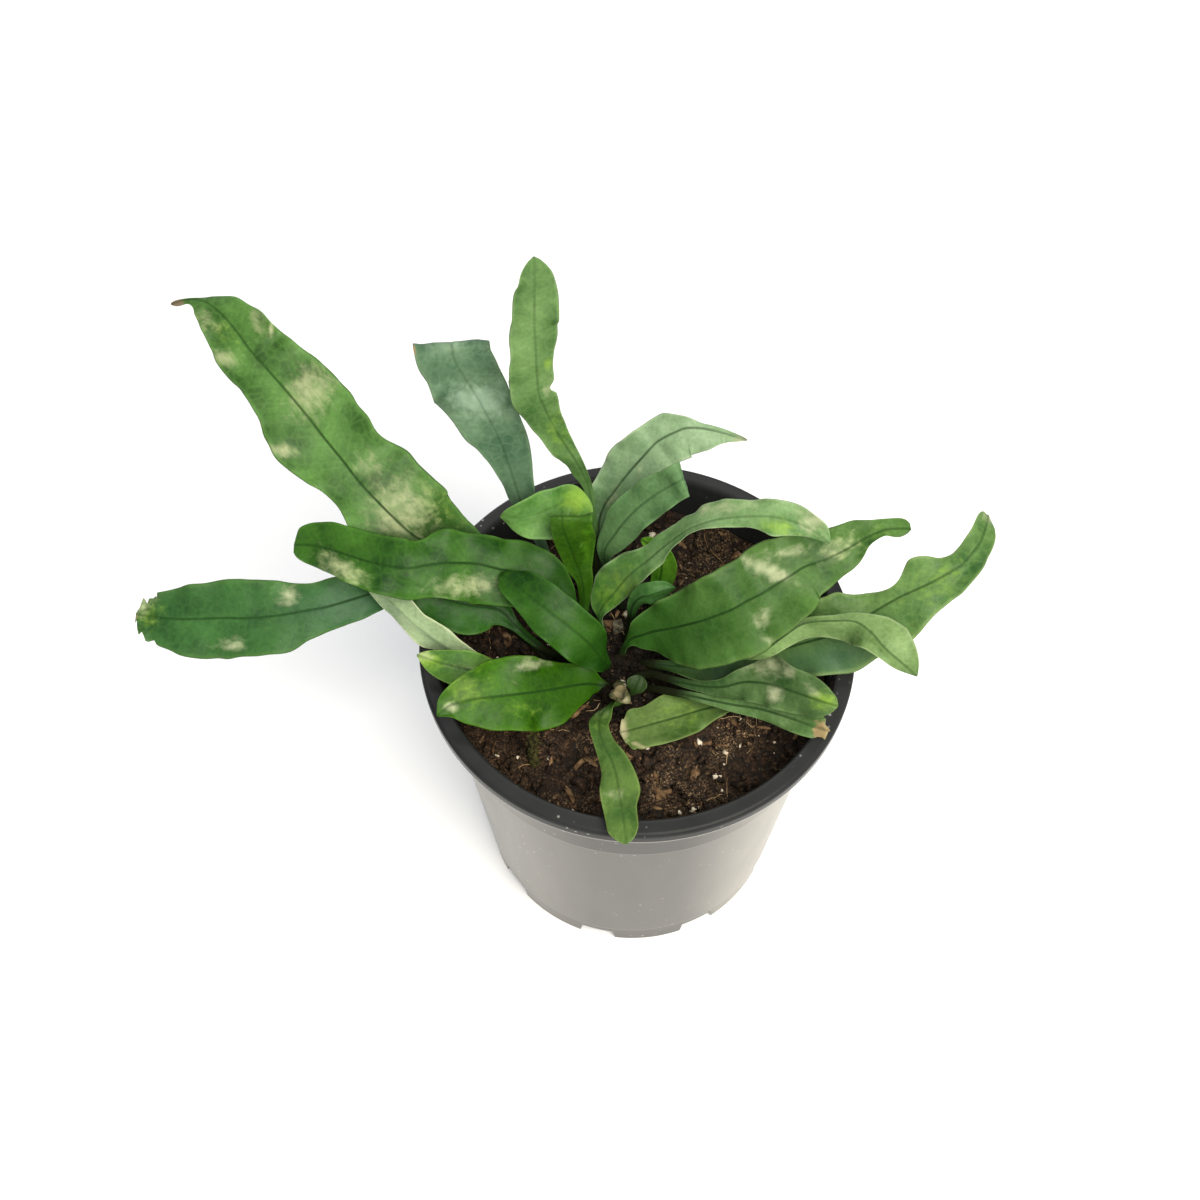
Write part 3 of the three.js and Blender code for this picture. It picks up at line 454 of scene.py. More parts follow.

    # A painted highlight along the lip's lower edge, and the lip's specks of dust
    lipEdgeGlint = addNode(
        tree,
        "ShaderNodeMapRange",
        {"From Min": film["lipEdgeGlint"] * mm, "From Max": (film["lipEdgeGlint"] - 0.5) * mm, "To Max": 0.55},
        {"Value": split["Z"]},
    )
    beyond = addNode(
        tree,
        "ShaderNodeMapRange",
        {"From Min": (film["lipOutside"] - 0.2) * mm, "From Max": (film["lipOutside"] + 0.2) * mm},
        {"Value": radius},
    )
    specks = addNode(
        tree, "ShaderNodeTexVoronoi", {"Scale": perMetre(film["speckSpacing"])}, {"Vector": place}
    )
    speckMask = addNode(
        tree,
        "ShaderNodeMapRange",
        {"From Min": 0.16, "From Max": 0.1, "interpolation_type": "SMOOTHSTEP"},
        {"Value": specks},
    )
    rarely = addNode(
        tree, "ShaderNodeMapRange", {"From Min": 0.47, "From Max": 0.7, "To Max": 0.6}, {"Value": clouds}
    )
    # mixes in the painted highlight on the lip's edge and the dust specks
    for mask, gate, hue in ((lipEdgeGlint, beyond, "line"), (speckMask, rarely, "speck")):
        share = addNode(tree, "ShaderNodeMath", {"operation": "MULTIPLY"}, {0: mask, 1: gate})
        colour = addNode(
            tree, "ShaderNodeMixRGB", {"Color2": linear(film[hue])}, {"Fac": share, "Color1": colour}
        )

    # The film is a little rougher than the lip, and the lip, neck and smudges mirror less
    gloss = addNode(tree, "ShaderNodeMapRange", {"To Min": 0.24, "To Max": 0.33}, {"Value": filmMask})
    polish = addNode(tree, "ShaderNodeMapRange", {"To Min": 0.5}, {"Value": frontShare})
    sheen = addNode(tree, "ShaderNodeMapRange", {"To Min": 0.3}, {"Value": filmMask, "To Max": polish})
    lipSide = addNode(tree, "ShaderNodeMath", {"operation": "SUBTRACT"}, {0: outer, 1: lowWall})
    dull = addNode(tree, "ShaderNodeMath", {"operation": "MULTIPLY", 1: 0.8}, {0: lipSide})
    for mask, strength in ((neck, 0.45), (smudged, 0.7)):
        dim = addNode(tree, "ShaderNodeMath", {"operation": "MULTIPLY", 1: strength}, {0: mask})
        dull = addNode(tree, "ShaderNodeMath", {"operation": "MAXIMUM"}, {0: dull, 1: dim})
    lasting = addNode(tree, "ShaderNodeMath", {"operation": "SUBTRACT", 0: 1}, {1: dull})
    sheen = addNode(tree, "ShaderNodeMath", {"operation": "MULTIPLY"}, {0: sheen, 1: lasting})
    shader = addNode(
        tree,
        "ShaderNodeBsdfPrincipled",
        {"Specular Tint": linear(film["glare"])},
        {"Base Color": colour, "Roughness": gloss, "Specular IOR Level": sheen},
    )
    finishMaterial(tree, shader)
    return material


def addPot():
    p = pot
    floor, wall = p["floorHeight"], p["wall"]
    shoulder = p["height"] - p["shoulderDrop"]
    skirt = p["height"] - p["skirtDrop"]
    neck = p["rimRadius"] - p["lipWidth"] + wall / 2
    footInside = p["footRadius"] - wall
    outside = [
        (p["dimpleRadius"], 0, 0.5),
        (p["dimpleRadius"] + 2, floor, 0.8),
        (footInside, floor, 0.6),
        (footInside, 0, 0.25),
        (p["footRadius"], 0, 0.3),
        (p["footRadius"] + 0.24, p["notchHeight"], 0),
        (p["heelRadius"] - 0.1, floor + 2.6, 0.3),
        (p["heelRadius"] + 0.25, floor + 3, 0.3),
        (p["shoulderRadius"] - 0.9, shoulder - 1, 0.4),
        (p["shoulderRadius"], shoulder, 0.5),
        (neck - 0.2, skirt, 0.4),
        (neck, p["height"] - wall, 0.5),
        (p["rimRadius"] - wall, p["height"] - wall, 0.5),
        (p["rimRadius"] - wall, skirt, 0.25),
        (p["rimRadius"] - 0.2, skirt, 0.35),
        (p["rimRadius"], p["height"] - 0.9, 0.9),
        (p["rimRadius"] - 0.9, p["height"], 0.9),
    ]
    inside = [
        (p["rimRadius"] - p["lipWidth"] + 0.5, p["height"], 0.9),
        (p["rimRadius"] - p["lipWidth"] - 0.3, p["height"] - 1, 0.9),
        (neck - 0.2 - wall, skirt, 0.5),
        (p["shoulderRadius"] - wall, shoulder, 0.5),
        (p["shoulderRadius"] - 0.9 - wall, shoulder - 1, 0.4),
        (p["heelRadius"] - wall, floor + 3, 1.5),
        (p["heelRadius"] - wall - 0.6, floor + wall, 1.5),
        (p["dimpleRadius"] + 1.6, floor + wall, 0.8),
        (p["dimpleRadius"] - 0.4, wall, 0.5),
    ]
    profile = [Vector((0, 0)), *rounded(outside + inside), Vector((0, wall))]
    angles = [2 * math.pi * i / p["sides"] for i in range(p["sides"])]
    halfNotch = p["notchWidth"] / 2 / p["footRadius"]
    starts = [math.radians(p["notchTurn"] - 90 + 360 * i / p["notches"]) for i in range(p["notches"])]

    # The height of a corner, which is raised in the foot ring's notches
    def place(x, y, height, row):
        if abs(math.hypot(x, y) - p["footRadius"]) > wall + 0.6 or height >= p["notchHeight"]:
            return height
        angle = math.atan2(y, x)
        for start in starts:
            apart = abs((angle - start + math.pi) % (2 * math.pi) - math.pi)
            if apart < halfNotch:
                return p["notchHeight"]
        return height

    corners, faces = turned(profile, angles, place)
    piece = addPiece("nursery_pot", corners, faces, blackPolypropylene(), ["pot_shell"])
    cutHoles(piece, [(p["drainCircle"] * math.cos(a), p["drainCircle"] * math.sin(a)) for a in starts])


# Drills the drain holes through the pot's floor.
def cutHoles(piece, centres):
    mesh = bpy.data.meshes.new("drain_cutters")
    work = bmesh.new()
    radius = pot["drainRadius"] * mm
    for x, y in centres:
        bmesh.ops.create_cone(
            work,
            cap_ends=True,
            segments=pot["drainSides"],
            radius1=radius,
            radius2=radius,
            depth=pot["drillLength"] * mm,
            matrix=Matrix.Translation(Vector((x, y, pot["floorHeight"])) * mm),
        )
    work.to_mesh(mesh)
    work.free()
    cutter = bpy.data.objects.new("drain_cutters", mesh)
    bpy.context.scene.collection.objects.link(cutter)
    cut = piece.modifiers.new("drain holes", "BOOLEAN")
    cut.operation = "DIFFERENCE"
    cut.solver = "EXACT"
    cut.object = cutter
    applyModifiers(piece)
    bpy.data.objects.remove(cutter)


addPot()
print("pot is moulded")


def moistPeat():
    # Moist peat compost, crumbled: dark red-brown and matt, with golden fibrous parts, drier at
    # the front left, and nearly black around the crown, which is painted shade under the fronds
    peat = {
        "dark": "#1b1510",
        "brown": "#473527",
        "crumb": 2.6,
        "fine": 0.5,
        "golden": "#8a7254",
        "goldenSize": 17,
        "dry": "#77593b",
        "dryPlace": (-40, -30, 104),
        "dryReach": (26, 8),  # the share grows from the first distance to the second
        # nearly black round the crown: painted shade under the fronds
        "crownShade": "#0b0806",
        "crown": (-4, -2, 105),
        "crownShadeReach": (29, 15),
        "grain": 0.55,
        "tan": "#8d7252",
    }
    material, tree = newMaterial("peat_compost_crumbled")
    place = addNode(tree, "ShaderNodeTexCoord").outputs["Object"]
    coarse, fine, golden = [
        addNode(
            tree,
            "ShaderNodeTexNoise",
            {"Scale": perMetre(peat[size]), "Detail": detail},
            {"Vector": place},
        )
        for size, detail in (("crumb", 6), ("fine", 4), ("goldenSize", 3))
    ]
    brownShare, fibre, spotty = [
        addNode(tree, "ShaderNodeMapRange", {"From Min": low, "From Max": high}, {"Value": source})
        for source, low, high in ((coarse, 0.42, 0.72), (golden, 0.5, 0.62), (fine, 0.5, 0.66))
    ]
    colour = addNode(
        tree,
        "ShaderNodeMixRGB",
        {"Color1": linear(peat["dark"]), "Color2": linear(peat["brown"])},
        {"Fac": brownShare},
    )
    goldenShare = addNode(tree, "ShaderNodeMath", {"operation": "MULTIPLY"}, {0: fibre, 1: spotty})

    fromDry, fromCrown = [
        addNode(
            tree, "ShaderNodeVectorMath", {"operation": "DISTANCE", 1: Vector(spot) * mm}, {0: place}
        ).outputs["Value"]
        for spot in (peat["dryPlace"], peat["crown"])
    ]
    far, near = peat["dryReach"]
    dryShare = addNode(
        tree,
        "ShaderNodeMapRange",
        {"From Min": far * mm, "From Max": near * mm, "To Max": 0.6, "interpolation_type": "SMOOTHSTEP"},
        {"Value": fromDry},
    )
    far, near = peat["crownShadeReach"]
    crownShadeShare = addNode(
        tree,
        "ShaderNodeMapRange",
        {"From Min": far * mm, "From Max": near * mm, "To Max": 0.96},
        {"Value": fromCrown},
    )
    drySpots = addNode(tree, "ShaderNodeMath", {"operation": "MULTIPLY"}, {0: dryShare, 1: spotty})
    layers = [(goldenShare, "golden"), (drySpots, "dry"), (crownShadeShare, "crownShade")]

    # Single grains: some nearly black, a few tan where the peat is fibrous
    patchy = addNode(tree, "ShaderNodeMapRange", {"To Min": 0.25, "To Max": 1.0}, {"Value": fibre})
    cells = addNode(tree, "ShaderNodeTexVoronoi", {"Scale": perMetre(peat["grain"])}, {"Vector": place})
    tone = addNode(tree, "ShaderNodeSeparateXYZ", links={0: cells.outputs["Color"]}).outputs
    darkGrains, tanGrains = [
        addNode(
            tree,
            "ShaderNodeMapRange",
            {"From Min": low, "From Max": high, "To Max": most},
            {"Value": tone[axis]},
        )
        for axis, low, high, most in (("X", 0.7, 0.5, 0.75), ("Y", 0.9, 0.97, 0.55))
    ]
    tanGrains = addNode(tree, "ShaderNodeMath", {"operation": "MULTIPLY"}, {0: tanGrains, 1: patchy})
    layers += [(darkGrains, "dark"), (tanGrains, "tan")]
    for share, hue in layers:
        colour = addNode(
            tree, "ShaderNodeMixRGB", {"Color2": linear(peat[hue])}, {"Fac": share, "Color1": colour}
        )
    bump = addNode(tree, "ShaderNodeBump", {"Strength": 0.7, "Distance": 0.35 * mm}, {"Height": fine})
    damp = addNode(
        tree,
        "ShaderNodeMapRange",
        {"From Min": 0.3, "From Max": 0.6, "To Min": 0.5, "To Max": 0.95},
        {"Value": coarse},
    )
    shader = addNode(
        tree,
        "ShaderNodeBsdfPrincipled",
        {"IOR": 1.4, "Specular IOR Level": 0.16},
        {"Base Color": colour, "Roughness": damp, "Normal": bump},
    )
    finishMaterial(tree, shader)
    return material


# The crumbly relief of the compost at a point, in mm above its packed surface.
def crumbRelief(x, y):
    spot = Vector((x, y, 0))
    size = soil["crumbSize"]
    cells = noise.voronoi(spot / size)[0]
    crumbs = 0.5 - min(cells[0] * 1.3, 1)
    small = noise.fractal(spot / soil["smallSize"], 0.9, 2.1, 3)
    broad = noise.noise(spot / soil["broadSize"] + Vector((3, 1, 7)))
    return soil["crumbHeight"] * (0.6 * crumbs + 0.45 * small) + soil["broadHeight"] * broad


# The height of the crumbly top, which is calm along the pot's wall.
def compostTop(x, y):
    edge = pot["shoulderRadius"] - pot["wall"] - soil["gap"]
    calm = min(1, max(0, (edge - math.hypot(x, y)) / soil["calmEdge"]))
    return soilHeight(x, y) + crumbRelief(x, y) * calm


def addCompost(material):
    shoulder = pot["height"] - pot["shoulderDrop"]
    wallTop = pot["shoulderRadius"] - pot["wall"] - soil["gap"]
    heel = pot["heelRadius"] - pot["wall"] - soil["gap"]
    floor = pot["floorHeight"] + pot["wall"] + soil["gap"]
    edge = wallTop + 0.4
    top = [(edge * i / soil["rings"], 0) for i in range(soil["rings"] + 1)]
    below = [
        (wallTop, shoulder + soil["gap"] / 2),
        (wallTop - 0.9, shoulder - 1 + soil["gap"] / 2),
        (heel, pot["floorHeight"] + 3.4),
        (heel - 0.6, floor),
        (pot["dimpleRadius"] + 1.4, floor),
        (pot["dimpleRadius"] - 0.6, pot["wall"] + soil["gap"]),
        (0, pot["wall"] + soil["gap"]),
    ]
    profile = (top + below)[::-1]
    topStart = len(below)
    angles = [2 * math.pi * i / soil["spokes"] for i in range(soil["spokes"])]

    def place(x, y, height, row):
        return compostTop(x, y) if row >= topStart else height

    corners, faces = turned(profile, angles, place)
    addPiece("peat_compost", corners, faces, material, ["soil_core"])


# An irregular closed lump round a centre, with its reach along each axis.
def lump(rng, centre, reach, roughness, detail):
    work = bmesh.new()
    bmesh.ops.create_icosphere(work, subdivisions=detail, radius=1)
    seed = Vector((rng.uniform(-50, 50), rng.uniform(-50, 50), rng.uniform(-50, 50)))
    spin = Matrix.Rotation(rng.uniform(0, 2 * math.pi), 3, "Z")
    spin = spin @ Matrix.Rotation(rng.uniform(-0.7, 0.7), 3, "X")
    corners = []
    for vert in work.verts:
        out = 1 + roughness * noise.noise(vert.co * 1.3 + seed) * 2
        scaled = Vector([vert.co[k] * out * reach[k] for k in range(3)])
        corners.append(spin @ scaled + Vector(centre))
    faces = [[vert.index for vert in face.verts] for face in work.faces]
    work.free()
    return corners, faces


# Many closed parts as the corners and faces of one mesh.
def joined(parts):
    corners = []
    faces = []
    for partCorners, partFaces in parts:
        start = len(corners)
        corners += partCorners
        faces += [[start + corner for corner in face] for face in partFaces]
    return corners, faces


# Places over the compost, spread evenly at random.
def scattered(rng, count, reach):
    spots = []
    for _ in range(count):
        angle = rng.uniform(0, 2 * math.pi)
        radius = reach * math.sqrt(rng.random())
        spots.append((radius * math.cos(angle), radius * math.sin(angle)))
    return spots


crumbs = {"seed": 4, "count": 2400, "small": 0.35, "large": 2.2, "reach": 56.5}


def addCrumbs(material):
    rng = random.Random(crumbs["seed"])
    parts = []
    for x, y in scattered(rng, crumbs["count"], crumbs["reach"]):
        size = crumbs["small"] + (crumbs["large"] - crumbs["small"]) * rng.random() ** 4
        reach = [size * rng.uniform(0.6, 1.2) for _ in range(2)] + [size * rng.uniform(0.5, 0.8)]
        centre = (x, y, compostTop(x, y) + size * 0.15)
        parts.append(lump(rng, centre, reach, 0.55, 2 if size > 1.2 else 1))
    corners, faces = joined(parts)
    addPiece("peat_crumbs", corners, faces, material)


# A dull material in two tones, with a grain of the given size in mm.
def dullLitter(name, tones, grain, roughness):
    material, tree = newMaterial(name)
    place = addNode(tree, "ShaderNodeTexCoord").outputs["Object"]
    cloud = addNode(
        tree, "ShaderNodeTexNoise", {"Scale": perMetre(grain), "Detail": 5}, {"Vector": place}
    )
    share = addNode(tree, "ShaderNodeMapRange", {"From Min": 0.35, "From Max": 0.65}, {"Value": cloud})
    colour = addNode(
        tree,
        "ShaderNodeMixRGB",
        {"Color1": linear(tones[0]), "Color2": linear(tones[1])},
        {"Fac": share},
    )
    bump = addNode(tree, "ShaderNodeBump", {"Strength": 0.6, "Distance": 0.2 * mm}, {"Height": cloud})
    shader = addNode(
        tree,
        "ShaderNodeBsdfPrincipled",
        {"Roughness": roughness, "Specular IOR Level": 0.1},
        {"Base Color": colour, "Normal": bump},
    )
    finishMaterial(tree, shader)
    return material


perlite = {"seed": 11, "count": 120, "small": 0.3, "large": 1.25, "reach": 55}


def addPerlite():
    rng = random.Random(perlite["seed"])
    parts = []
    for x, y in scattered(rng, perlite["count"], perlite["reach"]):
        size = perlite["small"] + (perlite["large"] - perlite["small"]) * rng.random() ** 3
        reach = [size * rng.uniform(0.6, 1.2) for _ in range(3)]
        centre = (x, y, compostTop(x, y) + size * 0.35)
        parts.append(lump(rng, centre, reach, 0.5, 2))
    corners, faces = joined(parts)
    # Expanded perlite, popped: chalk white and matt, a little soiled
    material = dullLitter("perlite_expanded", ("#a3947c", "#ddd3bd"), 1.1, 0.9)
    addPiece("perlite_grains", corners, faces, material)


barkBits = {"seed": 23, "count": 150, "reach": 55}


def addBarkBits():
    rng = random.Random(barkBits["seed"])
    parts = []
    for x, y in scattered(rng, barkBits["count"], barkBits["reach"]):
        length = rng.uniform(1, 3.4)
        reach = (length, length * rng.uniform(0.25, 0.5), rng.uniform(0.25, 0.6))
        centre = (x, y, compostTop(x, y) + 0.35)
        parts.append(lump(rng, centre, reach, 0.4, 2))
    corners, faces = joined(parts)
    # Composted bark, shredded: mid to tan brown chips with a dry matt face
    material = dullLitter("bark_shredded", ("#3a281b", "#806648"), 3.1, 0.85)
    addPiece("bark_bits", corners, faces, material)


# The unit direction at each of a line of points.
def tangentsOf(points):
    last = len(points) - 1
    return [(points[min(i + 1, last)] - points[max(i - 1, 0)]).normalized() for i in range(last + 1)]


# Normals that turn as little as possible along a line of points (double reflection).
def steadyNormals(points, tangents):
    lying = Vector((0, 0, 1)) if abs(tangents[0].z) < 0.9 else Vector((0, -1, 0))
    normals = [(lying - tangents[0] * lying.dot(tangents[0])).normalized()]
    for i in range(len(points) - 1):
        chord = points[i + 1] - points[i]
        share = 2 / chord.length_squared
        normal = normals[i] - chord * (share * chord.dot(normals[i]))
        tangent = tangents[i] - chord * (share * chord.dot(tangents[i]))
        change = tangents[i + 1] - tangent
        if change.length_squared > 1e-12:
            normal -= change * (2 / change.length_squared * change.dot(normal))
        normals.append(normal.normalized())
    return normals


# A round closed tube through points in mm.
def tube(points, radii, sides):
    points = [Vector(p) for p in points]
    tangents = tangentsOf(points)
    normals = steadyNormals(points, tangents)
    corners = []
    faces = []
    for i, point in enumerate(points):
        across = tangents[i].cross(normals[i])
        for j in range(sides):
            angle = 2 * math.pi * j / sides
            corners.append(point + radii[i] * (across * math.cos(angle) + normals[i] * math.sin(angle)))
    for i in range(len(points) - 1):
        for j in range(sides):
            a, b = i * sides + j, i * sides + (j + 1) % sides
            faces.append([a, b, b + sides, a + sides])
    faces.append(list(range(sides))[::-1])
    faces.append([len(corners) - sides + j for j in range(sides)])
    return corners, faces


fibres = {"seed": 31, "count": 40, "radius": 0.13, "sides": 6, "reach": 52, "step": 1.3}


def addFibres():
    rng = random.Random(fibres["seed"])
    parts = []
    for x, y in scattered(rng, fibres["count"], fibres["reach"]):
        heading = rng.uniform(0, 2 * math.pi)
        bend = rng.uniform(-0.25, 0.25)
        points = []
        for k in range(rng.randint(6, 18)):
            lift = 0.5 + 0.6 * math.sin(0.6 * k + x)
            points.append((x, y, compostTop(x, y) + lift * min(1, k)))
            heading += bend + rng.uniform(-0.25, 0.25)
            x += fibres["step"] * math.cos(heading)
            y += fibres["step"] * math.sin(heading)
            if math.hypot(x, y) > fibres["reach"] + 3:
                break
        if len(points) < 4:
            continue
        last = len(points) - 1
        radii = [fibres["radius"] * (1 - 0.5 * k / last) for k in range(last + 1)]
        parts.append(tube(points, radii, fibres["sides"]))
    corners, faces = joined(parts)
    # Dried fern roots: pale tan threads with a dull sheen
    material = dullLitter("fern_root_dried", ("#6b4e30", "#b49a70"), 4, 0.7)
    addPiece("root_fibres", corners, faces, material)


# Rows of numbers made denser along a centripetal Catmull-Rom curve through them.
def refine(rows, perSpan):
    rows = [np.asarray(row, float) for row in rows]
    padded = [2 * rows[0] - rows[1], *rows, 2 * rows[-1] - rows[-2]]
    dense = []
    for i in range(1, len(rows)):
        a, b, c, d = padded[i - 1 : i + 3]
        ab, bc, cd = [math.sqrt(np.linalg.norm(q[:3] - p[:3])) for p, q in ((a, b), (b, c), (c, d))]
        slopeB = bc * ((b - a) / ab - (c - a) / (ab + bc) + (c - b) / bc)
        slopeC = bc * ((c - b) / bc - (d - b) / (bc + cd) + (d - c) / cd)
        for j in range(perSpan):
            t = j / perSpan
            curved = (3 * (c - b) - 2 * slopeB - slopeC) * t**2
            dense.append(b + slopeB * t + curved + (2 * (b - c) + slopeB + slopeC) * t**3)
    dense.append(rows[-1])
    return dense


rhizome = {
    "radius": 2.3,
    "rise": 0.9,
    "runs": [
        [(-9, 29), (-12, 22), (-15, 13), (-16, 5), (-15, -2), (-10, -8), (-8, -15), (-3, -21)],
        [(-13, -3), (-6, -3), (1, -5), (10, -9), (20, -11), (30, -13), (38, -12)],
        [(-15, 3), (-20, 0), (-24, -6), (-27, -12)],
    ],
    "perSpan": 10,
    "sides": 20,
    "voxel": 0.38,
    "roughness": 0.32,
    "scales": 460,
    "seed": 5,
}


def scalyRhizome():
    # Creeping rhizome, grown: nearly black brown cork under papery scales
    return dullLitter("rhizome_cork_scaly", ("#090705", "#1a140c"), 1.6, 0.9)


# The middles of the creeping stem's runs, half sunk in the compost.
def rhizomeLines():
    lines = []
    for run in rhizome["runs"]:
        rows = [(x, y, soilHeight(x, y) + rhizome["rise"]) for x, y in run]
        lines.append([Vector(row) for row in refine(rows, rhizome["perSpan"])])
    return lines


def addRhizome():
    material = scalyRhizome()
    work = bmesh.new()
    for line in rhizomeLines():
        last = len(line) - 1
        radii = []
        for i, point in enumerate(line):
            blunt = min(1, math.sqrt(max(0.04, min(i, last - i) / (0.8 * rhizome["perSpan"]))))
            radii.append(rhizome["radius"] * blunt * (0.93 + 0.14 * noise.noise(point / 5)))
        corners, faces = tube(line, radii, rhizome["sides"])
        verts = [work.verts.new(corner * mm) for corner in corners]
        for face in faces:
            work.faces.new([verts[k] for k in face])
    mesh = bpy.data.meshes.new("creeping_rhizome")
    work.to_mesh(mesh)
    work.free()
    piece = bpy.data.objects.new("creeping_rhizome", mesh)
    bpy.context.scene.collection.objects.link(piece)
    fuse = piece.modifiers.new("fused runs", "REMESH")
    fuse.mode = "VOXEL"
    fuse.voxel_size = rhizome["voxel"] * mm
    applyModifiers(piece)
    for vert in piece.data.vertices:
        spot = vert.co / mm
        out = rhizome["roughness"] * noise.fractal(spot / 1.5, 0.8, 2.2, 3)
        vert.co += vert.normal * (out * mm)
    piece.data.shade_smooth()
    piece.data.materials.append(material)
    settle(piece, ["rhizome"])
    addScales(material)


# Papery scales that lie along the rhizome and point to its tips.
def addScales(material):
    rng = random.Random(rhizome["seed"])
    parts = []
    lines = rhizomeLines()
    for _ in range(rhizome["scales"]):
        line = rng.choices(lines, [len(each) for each in lines])[0]
        i = rng.randrange(2, len(line) - 2)
        tangent = (line[i + 1] - line[i - 1]).normalized()
        side = tangent.cross(Vector((0, 0, 1))).normalized()
        lift = side.cross(tangent)
        turn = rng.uniform(-1.5, 1.5)
        out = lift * math.cos(turn) + side * math.sin(turn)
        root = line[i] + out * rhizome["radius"] * 0.85
        along = (tangent * rng.uniform(0.6, 1) + out * rng.uniform(0.25, 0.7)).normalized()
        across = along.cross(out).normalized()
        thick = across.cross(along) * 0.1
        length = rng.uniform(1.4, 2.8)
        wide = rng.uniform(0.35, 0.6)
        ring = [root - across * wide * 0.6, root + along * length * 0.4 - across * wide]
        ring += [root + along * length, root + along * length * 0.4 + across * wide]
        ring.append(root + across * wide * 0.6)
        count = len(ring)
        corners = [corner + thick for corner in ring] + [corner - thick for corner in ring]
        faces = [list(range(count)), list(range(count, 2 * count))[::-1]]
        faces += [[k, k + count, (k + 1) % count + count, (k + 1) % count] for k in range(count)]
        parts.append((corners, faces))
    corners, faces = joined(parts)
    addPiece("rhizome_scales", corners, faces, material)


stub = {
    "points": [
        (-28.6, -37.2, -5),
        (-28.6, -37, 1),
        (-29, -35.4, 5),
        (-28.6, -34, 8.4),
        (-28.4, -33.4, 9.6),
    ],
    "radii": [1.5, 1.6, 1.3, 1.5, 0.7],
    "perSpan": 8,
    "sides": 18,
    "tuftSides": 5,
    "tufts": 90,
    "seed": 8,
}


def mossyStalk():
    # Dead stalk overgrown with moss: olive and brown, dull
    return dullLitter("moss_on_dead_stalk", ("#17150b", "#413f20"), 1.4, 0.9)


def addStub():
    rng = random.Random(stub["seed"])
    rows = []
    for (x, y, rise), radius in zip(stub["points"], stub["radii"]):
        rows.append((x, y, soilHeight(x, y) + rise, radius))
    dense = refine(rows, stub["perSpan"])
    line = [Vector(row[:3]) for row in dense]
    corners, faces = tube(line, [float(row[3]) for row in dense], stub["sides"])
    for k, corner in enumerate(corners):
        centre = line[k // stub["sides"]]
        out = corner - centre
        corners[k] = centre + out * (1 + 0.3 * noise.fractal(corner / 1.1, 0.8, 2.1, 3))
    parts = [(corners, faces)]
    for _ in range(stub["tufts"]):
        i = rng.randrange(10, len(line) - 1)
        angle = rng.uniform(0, 2 * math.pi)
        out = Vector((math.cos(angle), math.sin(angle), rng.uniform(-0.1, 0.7))).normalized()
        root = line[i] + out * float(dense[i][3]) * 0.8
        tip = root + out * rng.uniform(0.6, 1.3) + Vector((0, 0, rng.uniform(0, 0.6)))
        middle = (root + tip) / 2 + Vector((0, 0, 0.1))
        parts.append(tube([root, middle, tip], [0.22, 0.18, 0.05], stub["tuftSides"]))
    corners, faces = joined(parts)
    addPiece("mossy_stalk_stub", corners, faces, mossyStalk(), ["stalk_stub"])


chunk = {"x": -6, "y": 9.4, "size": 3.2, "sunk": 0.9, "turn": 14}


def addChunk():
    size = chunk["size"]
    work = bmesh.new()
    bmesh.ops.create_cube(work, size=size)
    bmesh.ops.subdivide_edges(work, edges=work.edges, cuts=9, use_grid_fill=True)
    spin = Matrix.Rotation(math.radians(chunk["turn"]), 3, "Z")
    lift = soilHeight(chunk["x"], chunk["y"]) + size / 2 - chunk["sunk"]
    centre = Vector((chunk["x"], chunk["y"], lift))
    corners = []
    for vert in work.verts:
        spot = vert.co
        reach = max(abs(c) for c in spot) * 2 / size
        corner = spot * (1 - 0.1 * (spot.length / (size * 0.866)) ** 6)
        grain = 0.16 * noise.fractal(Vector((spot.x * 2, spot.y * 2, spot.z * 0.5)), 0.8, 2.1, 3)
        corners.append(spin @ (corner * (1 + grain * reach)) + centre)
    faces = [[vert.index for vert in face.verts] for face in work.faces]
    work.free()
    # Weathered bark, sawn into a cube: beige with darker grain
    material = dullLitter("bark_cube_weathered", ("#38342b", "#6d6853"), 1.2, 0.85)
    addPiece("bark_cube", corners, faces, material, ["bark_chunk"])


compost = moistPeat()
addCompost(compost)
addCrumbs(compost)
addPerlite()
addBarkBits()
addFibres()
addRhizome()
addStub()
addChunk()
print("compost, rhizome and litter are laid")

